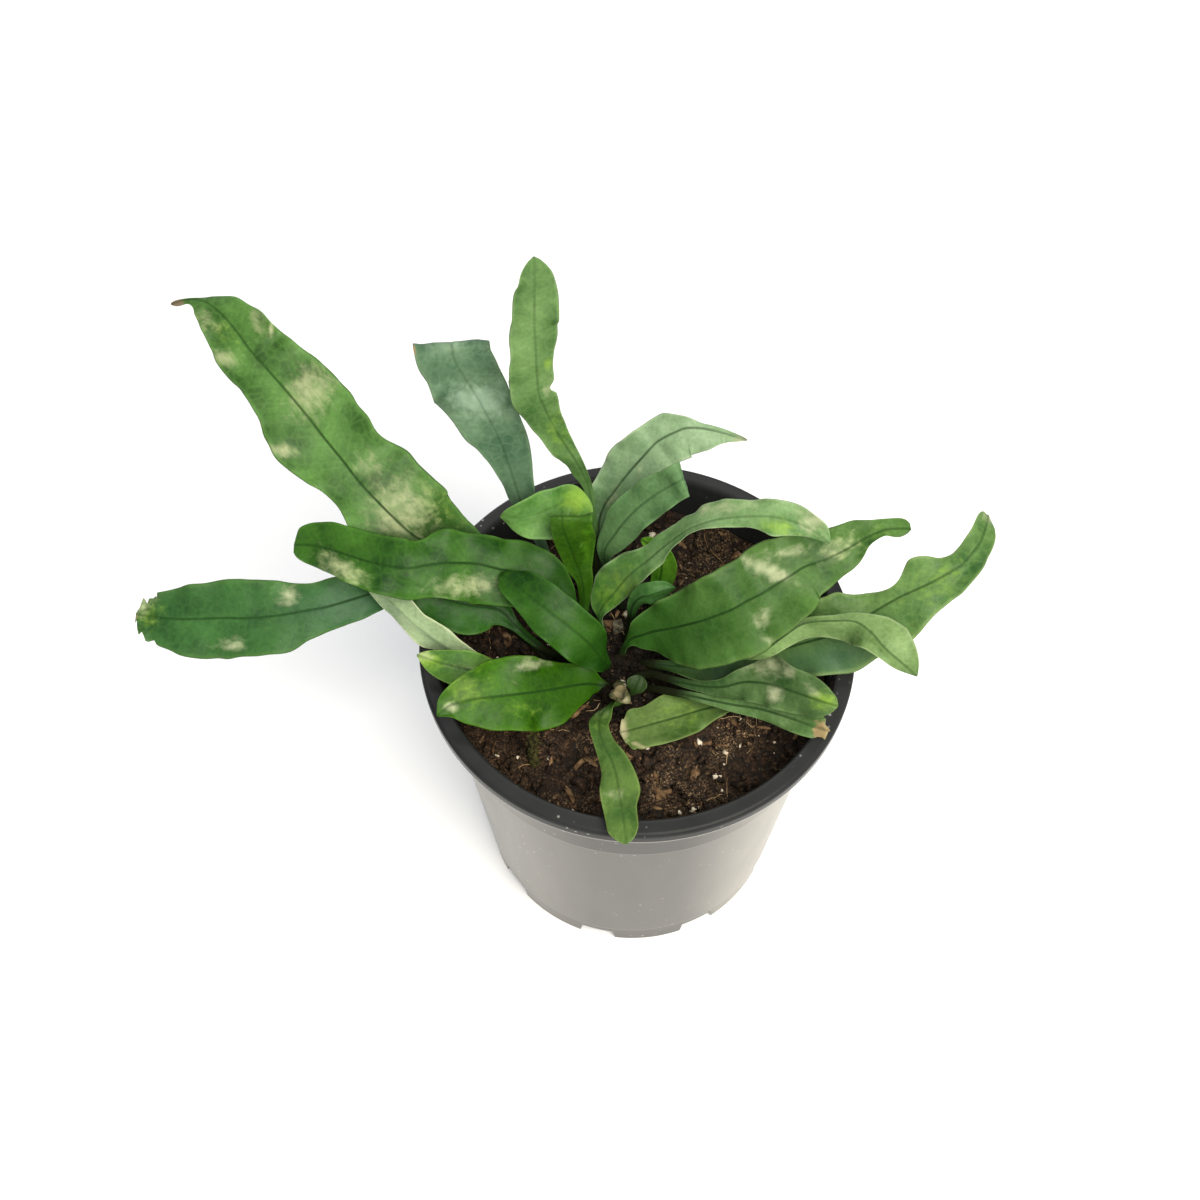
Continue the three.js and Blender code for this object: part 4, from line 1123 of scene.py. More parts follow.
# Each frond from its foot to its tip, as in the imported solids: the foot in mm, the midrib in
# pixels of the photograph and its height in mm, half widths left and right of it, the turn and
# cup of the blade in degrees, waves as (count, lift, phase), and the tip as (rounded length,
# bluntness). Nicks and bites are (share of the length, side, depth, reach), and crumple is how
# far a dry end is shaken.
fronds = [
    {
        "name": "frond_left_long",
        "foot": (-21.5, 8.6),
        "seen": [
            (548, 612), (502, 578), (460, 556), (416, 537), (396, 520), (378, 502), (360, 483),
            (343, 461), (325, 439), (308, 417), (288, 393), (267, 369), (250, 350), (237, 332),
            (217, 310), (202, 301), (190, 300), (171, 304),
        ],
        "height": [
            111, 120, 128, 136, 141, 145, 149, 153, 157, 161, 165, 169, 172, 174, 176.5, 177,
            176.5, 175,
        ],
        "left": [
            1.2, 3, 7, 12, 13, 11.8, 9.4, 11.8, 14.2, 14.5, 11.2, 10, 10.2, 9.2, 6.8, 4.4, 1.6,
            0.8,
        ],
        "right": [
            1.2, 4, 10, 16, 16.6, 16.5, 16.4, 13.2, 14, 14.1, 13.2, 11.4, 10.1, 9, 6, 2, 1.2,
            0.8,
        ],
        "waves": (4.5, 1.8, 0.1), "tip": (4, 2), "perSpan": 1,
    },
    {
        "name": "frond_left_low",
        "foot": (-23.7, -9),
        "seen": [
            (538, 650), (519, 634), (480, 606), (440, 591), (400, 589), (370, 594), (347, 601),
            (326, 607), (304, 611), (281, 615), (252, 618), (220, 618), (190, 619), (165, 618),
            (150, 616), (136, 614),
        ],
        "height": [
            110.8, 113, 117.6, 121.5, 124, 126, 127, 127.4, 127.4, 127, 126.4, 125.6, 124.4,
            123, 122, 121.4,
        ],
        "left": [1.2, 1.2, 1.6, 2.4, 3.4, 6, 6.8, 7.1, 8.8, 11.2, 11.4, 12, 11.6, 8.6, 7, 5],
        "right": [1.2, 1.2, 1.6, 2.4, 3, 3.2, 7.7, 7.8, 8.2, 10.4, 11.6, 11.1, 10.2, 8, 6.6, 5],
        "waves": (4, 1.3, 0.3), "tip": (3, 3), "bare": 28, "perSpan": 1,
        "nicks": [(0.985, -1, 1.6, 1.2), (0.97, 1, 1.4, 1.4)],
        "bites": [
            (0.955, 1, 1.6, 0.6), (0.983, 1, 2.6, 0.55), (0.997, 1, 2.2, 0.5), (0.95, -1, 1.2, 0.7),
            (0.971, -1, 2.3, 0.55), (0.992, -1, 3, 0.55),
        ],
    },
    {
        "name": "frond_left_mid",
        "foot": (-14.6, 0.5),
        "seen": [
            (583, 625), (572, 603), (558, 589), (545, 582), (522, 574), (498, 569), (478, 564),
            (460, 563), (443, 563), (428, 565), (410, 568), (395, 567), (378, 564), (363, 560),
            (345, 554), (325, 548), (308, 545), (294, 545),
        ],
        "height": [
            112, 119, 124, 127.5, 131, 134, 136, 138, 140, 141, 142, 142.4, 142.4, 142, 141.4,
            140, 138.6, 137,
        ],
        "left": [
            1.2, 3, 7, 9.4, 10, 11.3, 11.9, 11.4, 10.7, 9.6, 9.4, 8.7, 8.3, 7.8, 7, 6.6, 5.4,
            3.4,
        ],
        "right": [
            1.2, 2, 4.6, 7.8, 9.8, 9, 8.5, 9.5, 9.8, 7.8, 8.1, 8.4, 8.6, 8.5, 8.2, 7.7, 6, 3.4,
        ],
        "waves": (4.5, 1.6, 0.6), "tip": (4, 2.2), "perSpan": 1,
    },
    {
        "name": "frond_left_pale",
        "foot": (-16.2, -6.5),
        "seen": [
            (555, 672), (510, 668), (468, 657), (440, 641), (416, 624), (395, 604), (375, 588),
            (360, 574),
        ],
        "height": [111.4, 114, 118, 123, 127.4, 131, 134, 136],
        "left": [1.2, 2, 3.5, 4.5, 5, 5, 3.6, 2],
        "right": [1.2, 2, 3.5, 4.5, 5, 5, 3.6, 2],
        "turn": [90, 110, 130, 140, 145, 145, 140, 140],
        "waves": (2, 0.8, 0), "tip": (8, 2), "perSpan": 1,
    },
    {
        "name": "frond_left_inner",
        "foot": (-21.3, -2.8),
        "seen": [
            (548, 652), (529, 638), (514, 624), (499, 610), (469, 605), (446, 599), (420, 592),
            (394, 584),
        ],
        "height": [112.4, 117.2, 120.6, 123, 124.6, 126.5, 128.5, 129.5],
        "left": [1.2, 1.2, 2, 6, 9, 8.4, 6, 3],
        "right": [1.2, 1.2, 1.6, 3.4, 4.6, 4.6, 4, 2.6],
        "waves": (3, 1, 0.2), "tip": (9, 2), "bare": 16,
    },
    {
        "name": "frond_centre_dark",
        "foot": (-8.3, -5.7),
        "seen": [
            (604, 663), (595, 651), (584, 639), (565, 624), (549, 612), (529, 596), (501, 573),
        ],
        "height": [114, 121, 126.5, 131.5, 134, 135.5, 135],
        "left": [2.6, 6.6, 7.8, 7.6, 7.2, 5.6, 3],
        "right": [2.2, 5.2, 6.4, 7, 7.4, 6.8, 3],
        "waves": (3, 1, 0.4), "tip": (6, 2), "bare": 9, "flattening": 5,
    },
    {
        "name": "frond_front_left",
        "foot": (-6.6, -12.6),
        "seen": [
            (597, 685), (586, 684), (565, 687), (542, 691), (519, 694), (492, 697), (469, 700),
            (449, 706), (437, 716),
        ],
        "height": [110, 112.2, 115.8, 119.6, 123, 125.4, 127, 127, 126],
        "left": [2.4, 5, 8.2, 11.6, 11, 9.6, 7.6, 4.4, 1],
        "right": [2.4, 5.2, 7.6, 9.6, 11, 10.6, 7.8, 4.4, 1],
        "waves": (3, 1.2, 0.1), "tip": (4, 2), "bare": 9, "flattening": 5, "perSpan": 1,
    },
    {
        "name": "frond_front_left_back",
        "foot": (-13.2, -15.7),
        "seen": [
            (573, 692), (550, 687), (530, 683), (500, 677), (470, 670), (441, 663), (417, 655),
        ],
        "height": [109.6, 112.6, 115.6, 119.8, 123.4, 125, 125.6],
        "left": [1.4, 2, 3, 4, 5.6, 4.6, 1.2],
        "right": [1.4, 2, 3, 4, 5.6, 4, 1.2],
        "waves": (2.5, 1, 0.5), "tip": (4, 2), "perSpan": 1,
    },
    {
        "name": "frond_front_small",
        "foot": (-5.6, -17.4),
        "seen": [
            (619, 703), (613, 704), (606, 709), (601, 718), (599, 728), (603, 743), (614, 767),
            (619, 791), (622, 812), (625, 831), (626, 844),
        ],
        "height": [108.6, 111.6, 113.8, 115.8, 117.4, 119, 120.4, 121.2, 121.8, 122, 121.5],
        "left": [1.3, 1.6, 2.4, 3, 3, 3.2, 4.8, 6, 4.4, 4, 3],
        "right": [1.3, 1.6, 2.4, 3, 2.6, 2.6, 4, 5.2, 5, 4.8, 3.4],
        "waves": (3, 0.8, 0.5), "tip": (5, 2), "bare": 9, "flattening": 5, "perSpan": 1,
    },
    {
        "name": "frond_front_right_dry",
        "foot": (34.5, -12),
        "seen": [
            (735, 703), (721, 706), (700, 711), (677, 718), (655, 724), (637, 729), (620, 733),
        ],
        "height": [109, 108.8, 108.2, 108.4, 108.4, 108.2, 108],
        "left": [2, 4, 5.6, 7.6, 8.6, 7.4, 5.6],
        "right": [2, 4, 6.8, 8, 7.4, 6.4, 5],
        "turn": 30,
        "waves": (2.5, 0.6, 0.2), "tip": (4, 3), "bare": 9, "flattening": 5, "perSpan": 1,
        "crumple": 1.6,
        "bites": [
            (0.955, 1, 1.3, 0.8), (0.975, -1, 1.7, 0.9), (0.99, 1, 1.5, 0.6), (0.93, -1, 0.8, 0.7),
        ],
    },
    {
        "name": "frond_right_low",
        "foot": (-1.3, -8.5),
        "seen": [
            (648, 674), (662, 677), (693, 685), (722, 687), (745, 682), (770, 684), (795, 692),
            (818, 700), (838, 706),
        ],
        "height": [109.5, 112, 115.6, 118.6, 121.4, 124.6, 127.8, 130.4, 131.4],
        "left": [1.2, 1.2, 1.4, 2.4, 4.4, 8.5, 7, 5.4, 3],
        "right": [1.2, 1.2, 1.4, 3.2, 5.6, 6.5, 6.2, 5.3, 3],
        "waves": (3, 1, 0.7), "tip": (6, 2.2), "bare": 20,
    },
    {
        "name": "frond_right_dry_tip",
        "foot": (3.5, -12),
        "seen": [
            (662, 690), (682, 694), (705, 699), (735, 705), (760, 709), (790, 718), (812, 726),
            (828, 733),
        ],
        "height": [111, 113.2, 114, 114.8, 116.4, 118.6, 120.6, 121],
        "left": [1.2, 1.2, 1.5, 2.2, 2.8, 3.4, 4, 3.4],
        "right": [1.2, 1.2, 1.5, 2.2, 3, 3.6, 3.6, 2.6],
        "waves": (3, 0.6, 0.2), "tip": (3, 3), "bare": 18,
        "crumple": 1.8,
        "bites": [(0.975, 1, 1.2, 0.7), (0.985, -1, 1.4, 0.8)],
    },
    {
        "name": "frond_right_big",
        "foot": (-4.9, -1.4),
        "seen": [
            (624, 649), (631, 639), (642, 635), (655, 631), (672, 628), (689, 624), (704, 620),
            (718, 615), (733, 609), (747, 601), (761, 594), (775, 585), (790, 576), (804, 567),
            (818, 562), (833, 556), (847, 549), (862, 540), (874, 534), (885, 530), (898, 529),
            (911, 529),
        ],
        "height": [
            110, 114.5, 118, 121.5, 126, 131, 135, 138, 141, 143, 145, 146, 147, 148, 149,
            149.4, 149.6, 149.6, 149.4, 149, 148, 146.5,
        ],
        "left": [
            1.4, 2, 4.8, 7.1, 9, 10.2, 11.1, 11.6, 12, 11.9, 12.4, 12.6, 12, 10.3, 9.1, 8.1,
            7.4, 6.4, 4.4, 3.2, 2.8, 2.2,
        ],
        "right": [
            1.4, 2, 5, 8.2, 11, 13.1, 13.9, 14.5, 14.7, 14.4, 13.3, 12.7, 12.1, 10.5, 8.5, 6.8,
            5.6, 2.6, 1.8, 1.8, 2.2, 1.8,
        ],
        "waves": (4, 1.4, 0.35), "tip": (4, 2.2), "bare": 9, "flattening": 6, "perSpan": 1,
    },
    {
        "name": "frond_right_far",
        "foot": (1.5, -3.3),
        "seen": [
            (652, 664), (674, 666), (705, 666), (728, 662), (750, 657), (775, 651), (800, 644),
            (822, 638), (840, 632), (858, 623), (874, 612), (889, 603), (904, 595), (922, 587),
            (938, 579), (950, 572), (962, 564), (972, 553), (980, 542), (985, 528), (988, 515),
        ],
        "height": [
            110.2, 111.8, 113.4, 115.2, 117, 120, 123.4, 126.4, 129, 131.5, 134, 136.5, 139,
            141.6, 144, 145.6, 147, 148, 148.6, 148.8, 148,
        ],
        "left": [
            1.4, 1.6, 2.2, 3.6, 5.4, 8, 9.4, 10.6, 11.4, 10.4, 6.4, 4, 4.3, 8.6, 7.7, 4.9, 4.1,
            3.9, 4.2, 4, 2.6,
        ],
        "right": [
            1.4, 2, 5, 6.4, 7.6, 8.6, 9.6, 11, 12.2, 11.6, 12.2, 12.5, 11.5, 8.9, 7.4, 6.9,
            5.5, 4.5, 4, 3.3, 2.2,
        ],
        "waves": (4.5, 1.4, 0.8), "tip": (4, 2.2), "bare": 12, "perSpan": 1,
    },
    {
        "name": "frond_right_curled",
        "foot": (5.5, 3),
        "seen": [
            (668, 649), (700, 650), (735, 655), (760, 653), (782, 638), (804, 624), (833, 621),
            (856, 622), (872, 633), (885, 648), (900, 661), (917, 676),
        ],
        "height": [110, 117, 125.6, 132.8, 137, 139, 141.6, 142.6, 142.6, 141.4, 139, 135],
        "left": [1.2, 1.2, 1.4, 2, 2.6, 2.6, 2.4, 3.4, 6.4, 8, 6, 1],
        "right": [1.2, 1.2, 1.4, 3, 5, 6.6, 7.4, 8, 5.6, 3.2, 2.8, 1],
        "cup": [0, 0, -10, -40, -50, -50, -45, -30, -14, -10, -8, 0],
        "waves": (3, 0.8, 0.2), "tip": (4, 2), "bare": 32, "perSpan": 1,
    },
    {
        "name": "frond_back_right_arch",
        "foot": (-10.7, 8.6),
        "seen": [
            (600, 617), (602, 608), (611, 597), (621, 585), (632, 573), (648, 561), (668, 545),
            (690, 530), (715, 521), (745, 517), (775, 517), (800, 524), (817, 533), (830, 543),
        ],
        "height": [111, 114, 119, 124, 130, 136, 144, 151, 156, 160, 162, 161.4, 160, 158],
        "left": [1.4, 4, 7.6, 7.6, 6.8, 4.6, 5, 6.4, 5.6, 5, 5, 4.8, 3.8, 1.4],
        "right": [1.4, 2.4, 3.2, 4, 4.4, 4, 3, 2.8, 2.8, 2.8, 5, 3.6, 2, 1],
        "turn": [0, 0, 0, 0, 0, -15, -45, -55, -45, -25, -5, 0, 0, 0],
        "waves": (4, 0.8, 0.4), "tip": (4, 2), "bare": 8, "flattening": 5, "perSpan": 1,
    },
    {
        "name": "frond_back_right_tall",
        "foot": (-9.8, 26),
        "seen": [
            (603, 562), (599, 528), (601, 515), (606, 503), (614, 492), (623, 480), (632, 469),
            (641, 459), (649, 450), (657, 442), (665, 437), (673, 433), (686, 428), (700, 428),
            (712, 430), (724, 433), (747, 440),
        ],
        "height": [
            112, 124, 128, 132, 136, 140, 143, 146, 149, 151, 153, 154.4, 156, 156.4, 156, 155,
            152,
        ],
        "left": [1.4, 3.4, 5, 6.3, 7.1, 7.9, 8.6, 8.5, 7.6, 6.5, 6.7, 6.7, 3.8, 1.6, 1.3, 1.2, 0.6],
        "right": [1.4, 3.4, 5, 6.4, 7.4, 8, 8, 8.2, 8.6, 8.6, 8.6, 8.8, 8.9, 7.6, 5.6, 3.2, 0.6],
        "waves": (3, 1, 0.2), "tip": (3, 2), "perSpan": 1,
    },
    {
        "name": "frond_back_right_folded",
        "foot": (-5.4, 17.5),
        "seen": [
            (614, 582), (605, 553), (617, 532), (635, 511), (655, 495), (671, 485.5),
            (677.5, 482), (682, 479.8), (681, 480.8), (673, 486), (660, 495),
        ],
        "height": [113, 124, 133, 143, 151, 156, 159.2, 159.8, 156, 149.6, 142],
        "left": [1.4, 3, 5.4, 6.2, 5.8, 5.2, 5.2, 5.2, 5.2, 4.4, 1.4],
        "right": [1.4, 3, 5.5, 6, 6, 5.4, 5.2, 5.2, 5.2, 4.4, 1.4],
        "waves": (2.5, 0.4, 0.2), "tip": (4, 2), "perSpan": 1, "facing": 0.6,
    },
    {
        "name": "frond_back_tall",
        "foot": (-12.2, 20),
        "seen": [
            (597, 568), (594, 528), (589, 488), (582, 472), (576, 461), (569, 450), (563, 441),
            (557, 432), (552, 422), (547, 413), (543, 404), (539, 395), (537, 378), (536, 362),
            (535, 342), (534, 322), (534, 306), (534, 290), (534, 275), (534, 257),
        ],
        "height": [
            115, 128, 142, 148, 153, 157, 161, 165, 169, 173, 177, 181, 187.4, 194, 201, 208,
            213.6, 219, 224, 229,
        ],
        "left": [
            1.2, 1.2, 1.8, 3, 3.6, 4.2, 4.6, 5, 6, 6.7, 7.2, 7.8, 8.1, 7.7, 7, 6.3, 5.8, 4.9,
            4, 2.6,
        ],
        "right": [
            1.2, 1.2, 1.2, 1.7, 2, 2.4, 2.7, 3.1, 3.4, 4, 4.6, 5, 4.8, 4.6, 6, 6.4, 6.5, 6.2,
            4.9, 2.6,
        ],
        "waves": (4, 0.8, 0.2), "tip": (5, 2), "bare": 26, "perSpan": 1,
        "nicks": [(0.665, 1, 1.6, 2)],
    },
    {
        "name": "frond_back_bluish",
        "foot": (-20, 16.5),
        "seen": [
            (560, 582), (545, 552), (531, 522), (520, 499), (514, 481), (506, 456), (497, 434),
            (486, 413), (471, 387), (460, 370), (454, 359), (452, 349), (451.5, 344),
            (451.5, 345), (453, 353), (458, 370), (465, 386),
        ],
        "height": [
            112, 122, 131, 140, 146.4, 155.6, 163, 170, 180, 187, 190.4, 193, 193, 191, 187,
            179.4, 172,
        ],
        "left": [
            1.2, 1.4, 1.8, 3.1, 3.6, 5.2, 8, 9.4, 11.2, 9.8, 10, 10.6, 10.8, 10.6, 9.6, 7, 2.6,
        ],
        "right": [
            1.2, 1.4, 2.4, 4.4, 5.7, 7.4, 8.5, 8.5, 9.8, 10.2, 10.4, 10.4, 10.4, 10.4, 9.4, 7,
            2.6,
        ],
        "waves": (3.5, 1, 0.4), "tip": (6, 2), "bare": 18, "perSpan": 1, "facing": 0.7,
    },
    {
        "name": "frond_crown_arch",
        "foot": (-14.6, 12.6),
        "seen": [
            (590, 590), (587, 560), (583, 530), (580, 510), (569, 501), (552, 508), (530, 516),
            (512, 518), (500, 517),
        ],
        "height": [113, 123, 131.6, 138, 141.6, 143.4, 143.8, 142.8, 141.4],
        "left": [1.4, 2.4, 3, 3.4, 5, 8.4, 7.4, 4, 1],
        "right": [1.4, 1.8, 2.4, 4.4, 5, 5.8, 6, 3.6, 1],
        "waves": (2.5, 0.8, 0.4), "tip": (4, 2),
    },
    {
        "name": "frond_crown_upright",
        "foot": (-16.2, 5.8),
        "seen": [
            (584, 608), (582, 580), (577, 566), (571, 549), (565, 535), (562, 524), (562, 518),
            (562, 517), (562, 518.5), (562.5, 526), (566, 540),
        ],
        "height": [113, 124, 129, 137, 144, 149, 151, 150, 148.4, 144, 137],
        "left": [1.4, 2, 3.2, 4, 3.6, 3.2, 3.2, 3.2, 3.2, 3, 1.2],
        "right": [1.4, 3.4, 4.8, 7.6, 8.6, 8.8, 9, 9, 9, 7, 1.2],
        "waves": (2, 0.4, 0.2), "tip": (4, 2), "perSpan": 1, "facing": 0.6,
    },
    {
        "name": "frond_crown_curl",
        "foot": (-3.1, 5),
        "seen": [
            (629, 633), (631, 619), (633, 606), (641, 597), (652, 594), (664, 590), (676, 588),
        ],
        "height": [109, 114, 121, 128, 131, 132, 132],
        "left": [1.3, 1.3, 1.8, 3.2, 3.8, 3, 1],
        "right": [1.3, 1.3, 1.8, 3, 3.2, 2.6, 1],
        "cup": [0, 0, -5, -12, -15, -12, -5],
        "waves": (2, 0.5, 0.2), "tip": (3, 2), "bare": 16, "flattening": 6,
    },
    {
        "name": "frond_crown_small",
        "foot": (3.5, 16.5),
        "seen": [(651, 604), (657, 589), (661, 574), (661, 559), (654, 547), (641, 539)],
        "height": [110, 116, 121, 126, 129, 130],
        "left": [1.4, 2.4, 3, 3, 2.6, 1.4],
        "right": [1.4, 3.6, 4.6, 4.6, 3.4, 1.6],
        "waves": (2, 0.5, 0.3), "tip": (4, 2),
    },
    {
        "name": "round_leaf",
        "foot": (-1.9, -14.5),
        "seen": [(633, 692), (635, 688), (638, 681), (640, 675)],
        "height": [109, 110.5, 112, 113],
        "left": [1, 2.6, 3.2, 2.4],
        "right": [1, 2.6, 3.2, 2.4],
        "waves": (1, 0.2, 0), "tip": (3, 2), "bare": 9, "flattening": 3,
    },
    {
        "name": "dead_scrap",
        "foot": (-5, -10.4),
        "seen": [(621, 683), (617, 690), (620, 695), (626, 699), (630, 703)],
        "height": [110, 114, 117, 117.6, 116.6],
        "left": [1.2, 2.6, 2.8, 2, 0.8],
        "right": [1.2, 2.4, 2.6, 1.8, 0.8],
        "waves": (2, 0.6, 0), "tip": (2, 2), "bare": 7, "flattening": 4,
        "crumple": 4.5,
    },
]

blade = {
    "perSpan": 7,  # stations between two of a frond's rows
    "marginThickness": 0.42,
    "ribThickness": 1.0,
    "ribReach": 1.0,  # of the close points to each side of the midrib
    "groove": 0.1,
    "grooveReach": 0.45,
    "keel": 0.55,
    "keelReach": 0.75,
    "leastHalf": 0.3,
    "inner": (0.2, 0.42, 0.7, 1),
    "outer": (0.14, 0.28, 0.42, 0.56, 0.69, 0.8, 0.89, 0.955, 1),
    "quilt": 0.45,  # relief between the veins
    "quiltSize": (5, 3.2),  # along and across
    "ripple": 1.35,  # extra lift of the margins
    "ripplePeriod": 17,
    "fullRipple": 7,  # half width from which the ripples have their whole lift
    "wobble": 0.05,  # share by which the outline wanders
    "wobbleSize": 6,
    "crumpleSize": 2.4,
    "crumpleShifts": ((0, 0, 0), (31, 17, 5), (7, 43, 29)),  # where each axis reads the noise
}

stalk = {
    "footDepth": 7,
    "halfWidth": 1.15,
    "thickness": 2.1,
    "bare": 10,
    "flattening": 9,
    "coarse": 2,
}


# Eases a share from 0 to 1.
def smooth(value):
    value = np.clip(value, 0, 1)
    return value * value * (3 - 2 * value)


def listed(value, count):
    return value if isinstance(value, list) else [value] * count


# A frond's stations: centre, blade axes, half widths and place along its length. The blade
# faces the photograph's viewpoint at the station that its "facing" share names.
def stationsOf(frond):
    count = len(frond["seen"])
    turn = listed(frond.get("turn", 0), count)
    cup = listed(frond.get("cup", 6), count)
    rows = []
    for i, pixel in enumerate(frond["seen"]):
        centre = sighted(pixel, frond["height"][i])
        rows.append((*centre, frond["left"][i], frond["right"][i], turn[i], cup[i]))
    x, y = frond["foot"]
    surface = soilHeight(x, y)
    foot = (stalk["halfWidth"], stalk["halfWidth"], turn[0], 0)
    rows = [(x, y, surface + rise, *foot) for rise in (-stalk["footDepth"], -1, 1)] + rows
    dense = refine(rows, blade["perSpan"])
    points = [Vector(row[:3]) for row in dense]
    tangents = tangentsOf(points)
    normals = steadyNormals(points, tangents)
    coarse = frond.get("perSpan", stalk["coarse"])
    facing = round(((len(rows) - 1) * coarse + 1) * frond.get("facing", 0.6)) / coarse
    middle = round(facing * blade["perSpan"])
    eyeward = (sight["eye"] - points[middle]).normalized()
    sideways = tangents[middle].cross(normals[middle])
    offset = math.atan2(eyeward.dot(sideways), eyeward.dot(normals[middle]))
    along = 0
    stations = []
    for i, row in enumerate(dense):
        along += (points[i] - points[i - 1]).length if i else 0
        angle = offset + math.radians(row[5])
        across = tangents[i].cross(normals[i])
        normal = normals[i] * math.cos(angle) + across * math.sin(angle)
        stations.append(
            {
                "centre": np.array(points[i]),
                "normal": np.array(normal),
                "rightward": np.array(tangents[i].cross(normal)),
                "left": row[3],
                "right": row[4],
                "cup": math.radians(row[6]),
                "along": along,
            }
        )
    return stations


# Smooth noise along up to three numbers.
def wander(*values):
    return noise.noise(Vector((*values, 0)[:3]))


# One station's section: points over the top face from the left margin to the right one, and
# back along the underside, with their reach across in mm and the half width there.
def sectionOf(frond, station, length, seed):
    along = station["along"]
    tipLength, bluntness = frond["tip"]
    count, lift, phase = frond["waves"]
    flattening = frond.get("flattening", stalk["flattening"])
    flat = float(smooth((along - frond.get("bare", stalk["bare"])) / flattening))
    toTip = min(1, max(0, (length - along) / tipLength))
    closing = (1 - (1 - toTip) ** bluntness) ** (1 / bluntness)
    tops = []
    unders = []
    for side in (-1, 1):
        half = max(station["left" if side < 0 else "right"] * closing, blade["leastHalf"])
        half *= 1 + blade["wobble"] * flat * wander(along / blade["wobbleSize"], side * 7 + seed)
        for share, nicked, depth, spread in frond.get("nicks", []) + frond.get("bites", []):
            if nicked == side:
                half -= depth * math.exp(-(((along - share * length) / spread) ** 2))
        half = max(half, blade["leastHalf"])
        ribReach = min(blade["ribReach"], 0.45 * half)
        reaches = [share * ribReach / half for share in blade["inner"]]
        reaches += [reaches[-1] + (1 - reaches[-1]) * share for share in blade["outer"]]
        if side > 0:
            reaches = [0, *reaches]
        cup = station["cup"] * flat
        beat = 2 * math.pi * (count * along / length + phase + 0.2 * side)
        for reach in reaches:
            off = reach * half
            wave = lift * reach**2 * math.cos(beat) * flat * closing
            rippleBeat = along / blade["ripplePeriod"] + 0.37 * side + seed
            rippleBeat += wander(along / 31, side + seed)
            rippled = math.sin(2 * math.pi * rippleBeat) * (0.75 + wander(along / 13, side * 5 + seed))
            rippled += 0.6 * wander(along / 4, side + seed)
            room = min(1, half / blade["fullRipple"])
            wave += blade["ripple"] * reach**2.6 * rippled * room * flat * closing
            quilted = wander(along / blade["quiltSize"][0], side * off / blade["quiltSize"][1], seed)
            wave += blade["quilt"] * quilted * flat * min(1, reach * 2) * closing
            thickness = blade["ribThickness"]
            thickness += (blade["marginThickness"] - blade["ribThickness"]) * float(smooth(reach * 1.6))
            thickness *= (0.55 + 0.45 * closing) * math.sqrt(max(0, 1 - reach**10))
            roundStalk = stalk["thickness"] * math.sqrt(max(0, 1 - reach**2))
            thickness = roundStalk + (thickness - roundStalk) * flat
            nearRib = math.exp(-((off / blade["grooveReach"]) ** 2)) * flat
            keel = math.exp(-((off / blade["keelReach"]) ** 2)) * flat * (1 - 0.75 * along / length)
            raised = off * math.sin(cup) + wave
            across = side * off * math.cos(cup)
            base = station["centre"] + station["rightward"] * across + station["normal"] * raised
            top = base + station["normal"] * (thickness / 2 - blade["groove"] * nearRib)
            under = base - station["normal"] * (thickness / 2 + blade["keel"] * keel)
            tops.append((side * reach, top, side * off, half))
            unders.append((side * reach, under, side * off, half))
    tops.sort(key=lambda each: each[0])
    unders.sort(key=lambda each: -each[0])
    ring = tops + unders[1:-1]
    points = [each[1] for each in ring]
    places = [(along, each[2], each[3]) for each in ring]
    forms = [(1 - flat, along / length, 0) for _ in ring]
    return points, places, forms


# How strongly each kind of mark shows at a frond's corners: pale (pale patches, and painted
# highlights where the blade catches light), dry, yellow and shade (painted shade). A mark is
# (kind, pixel, reach across and down in pixels, lean in degrees, strength).
def marksOn(corners, marks):
    across, down = seenAt(corners)
    weights = np.zeros((len(corners), 4))
    kinds = {"pale": 0, "dry": 1, "yellow": 2, "shade": 3}
    for kind, (x, y), (wide, high), lean, strength in marks:
        c, s = math.cos(math.radians(lean)), math.sin(math.radians(lean))
        dx, dy = across - x, down - y
        inside = ((dx * c + dy * s) / wide) ** 2 + ((dy * c - dx * s) / high) ** 2
        column = kinds[kind]
        weights[:, column] = np.maximum(weights[:, column], strength * np.exp(-inside))
    return weights


def addFrond(frond, look, material):
    stations = stationsOf(frond)
    length = stations[-1]["along"]
    seed = sum(frond["foot"]) % 17
    corners = []
    places = []
    forms = []
    for station in stations:
        points, spots, shares = sectionOf(frond, station, length, seed)
        corners += points
        places += spots
        forms += shares
    around = len(corners) // len(stations)
    faces = []
    for i in range(len(stations) - 1):
        for j in range(around):
            a, b = i * around + j, i * around + (j + 1) % around
            faces.append([a, b, b + around, a + around])
    faces.append(list(range(around))[::-1])
    faces.append([len(corners) - around + j for j in range(around)])
    corners = np.array(corners)
    crumple = frond.get("crumple")
    marks = marksOn(corners, look.get("marks", []))
    if crumple:
        for k, corner in enumerate(corners):
            spot = Vector(corner) / blade["crumpleSize"]
            shake = [noise.noise(spot + Vector(shift)) for shift in blade["crumpleShifts"]]
            corners[k] += np.array(shake) * crumple * marks[k][1]
    forms = np.array(forms)
    # the form's third value carries the painted shade marks
    forms[:, 2] = marks[:, 3]
    leaf = {"leafPlace": places, "leafMarks": marks[:, :3], "leafForm": forms}
    name = frond["name"].replace("frond", "leaf") + "_blade"
    addPiece(name, corners, faces, material, [frond["name"]], leaf)
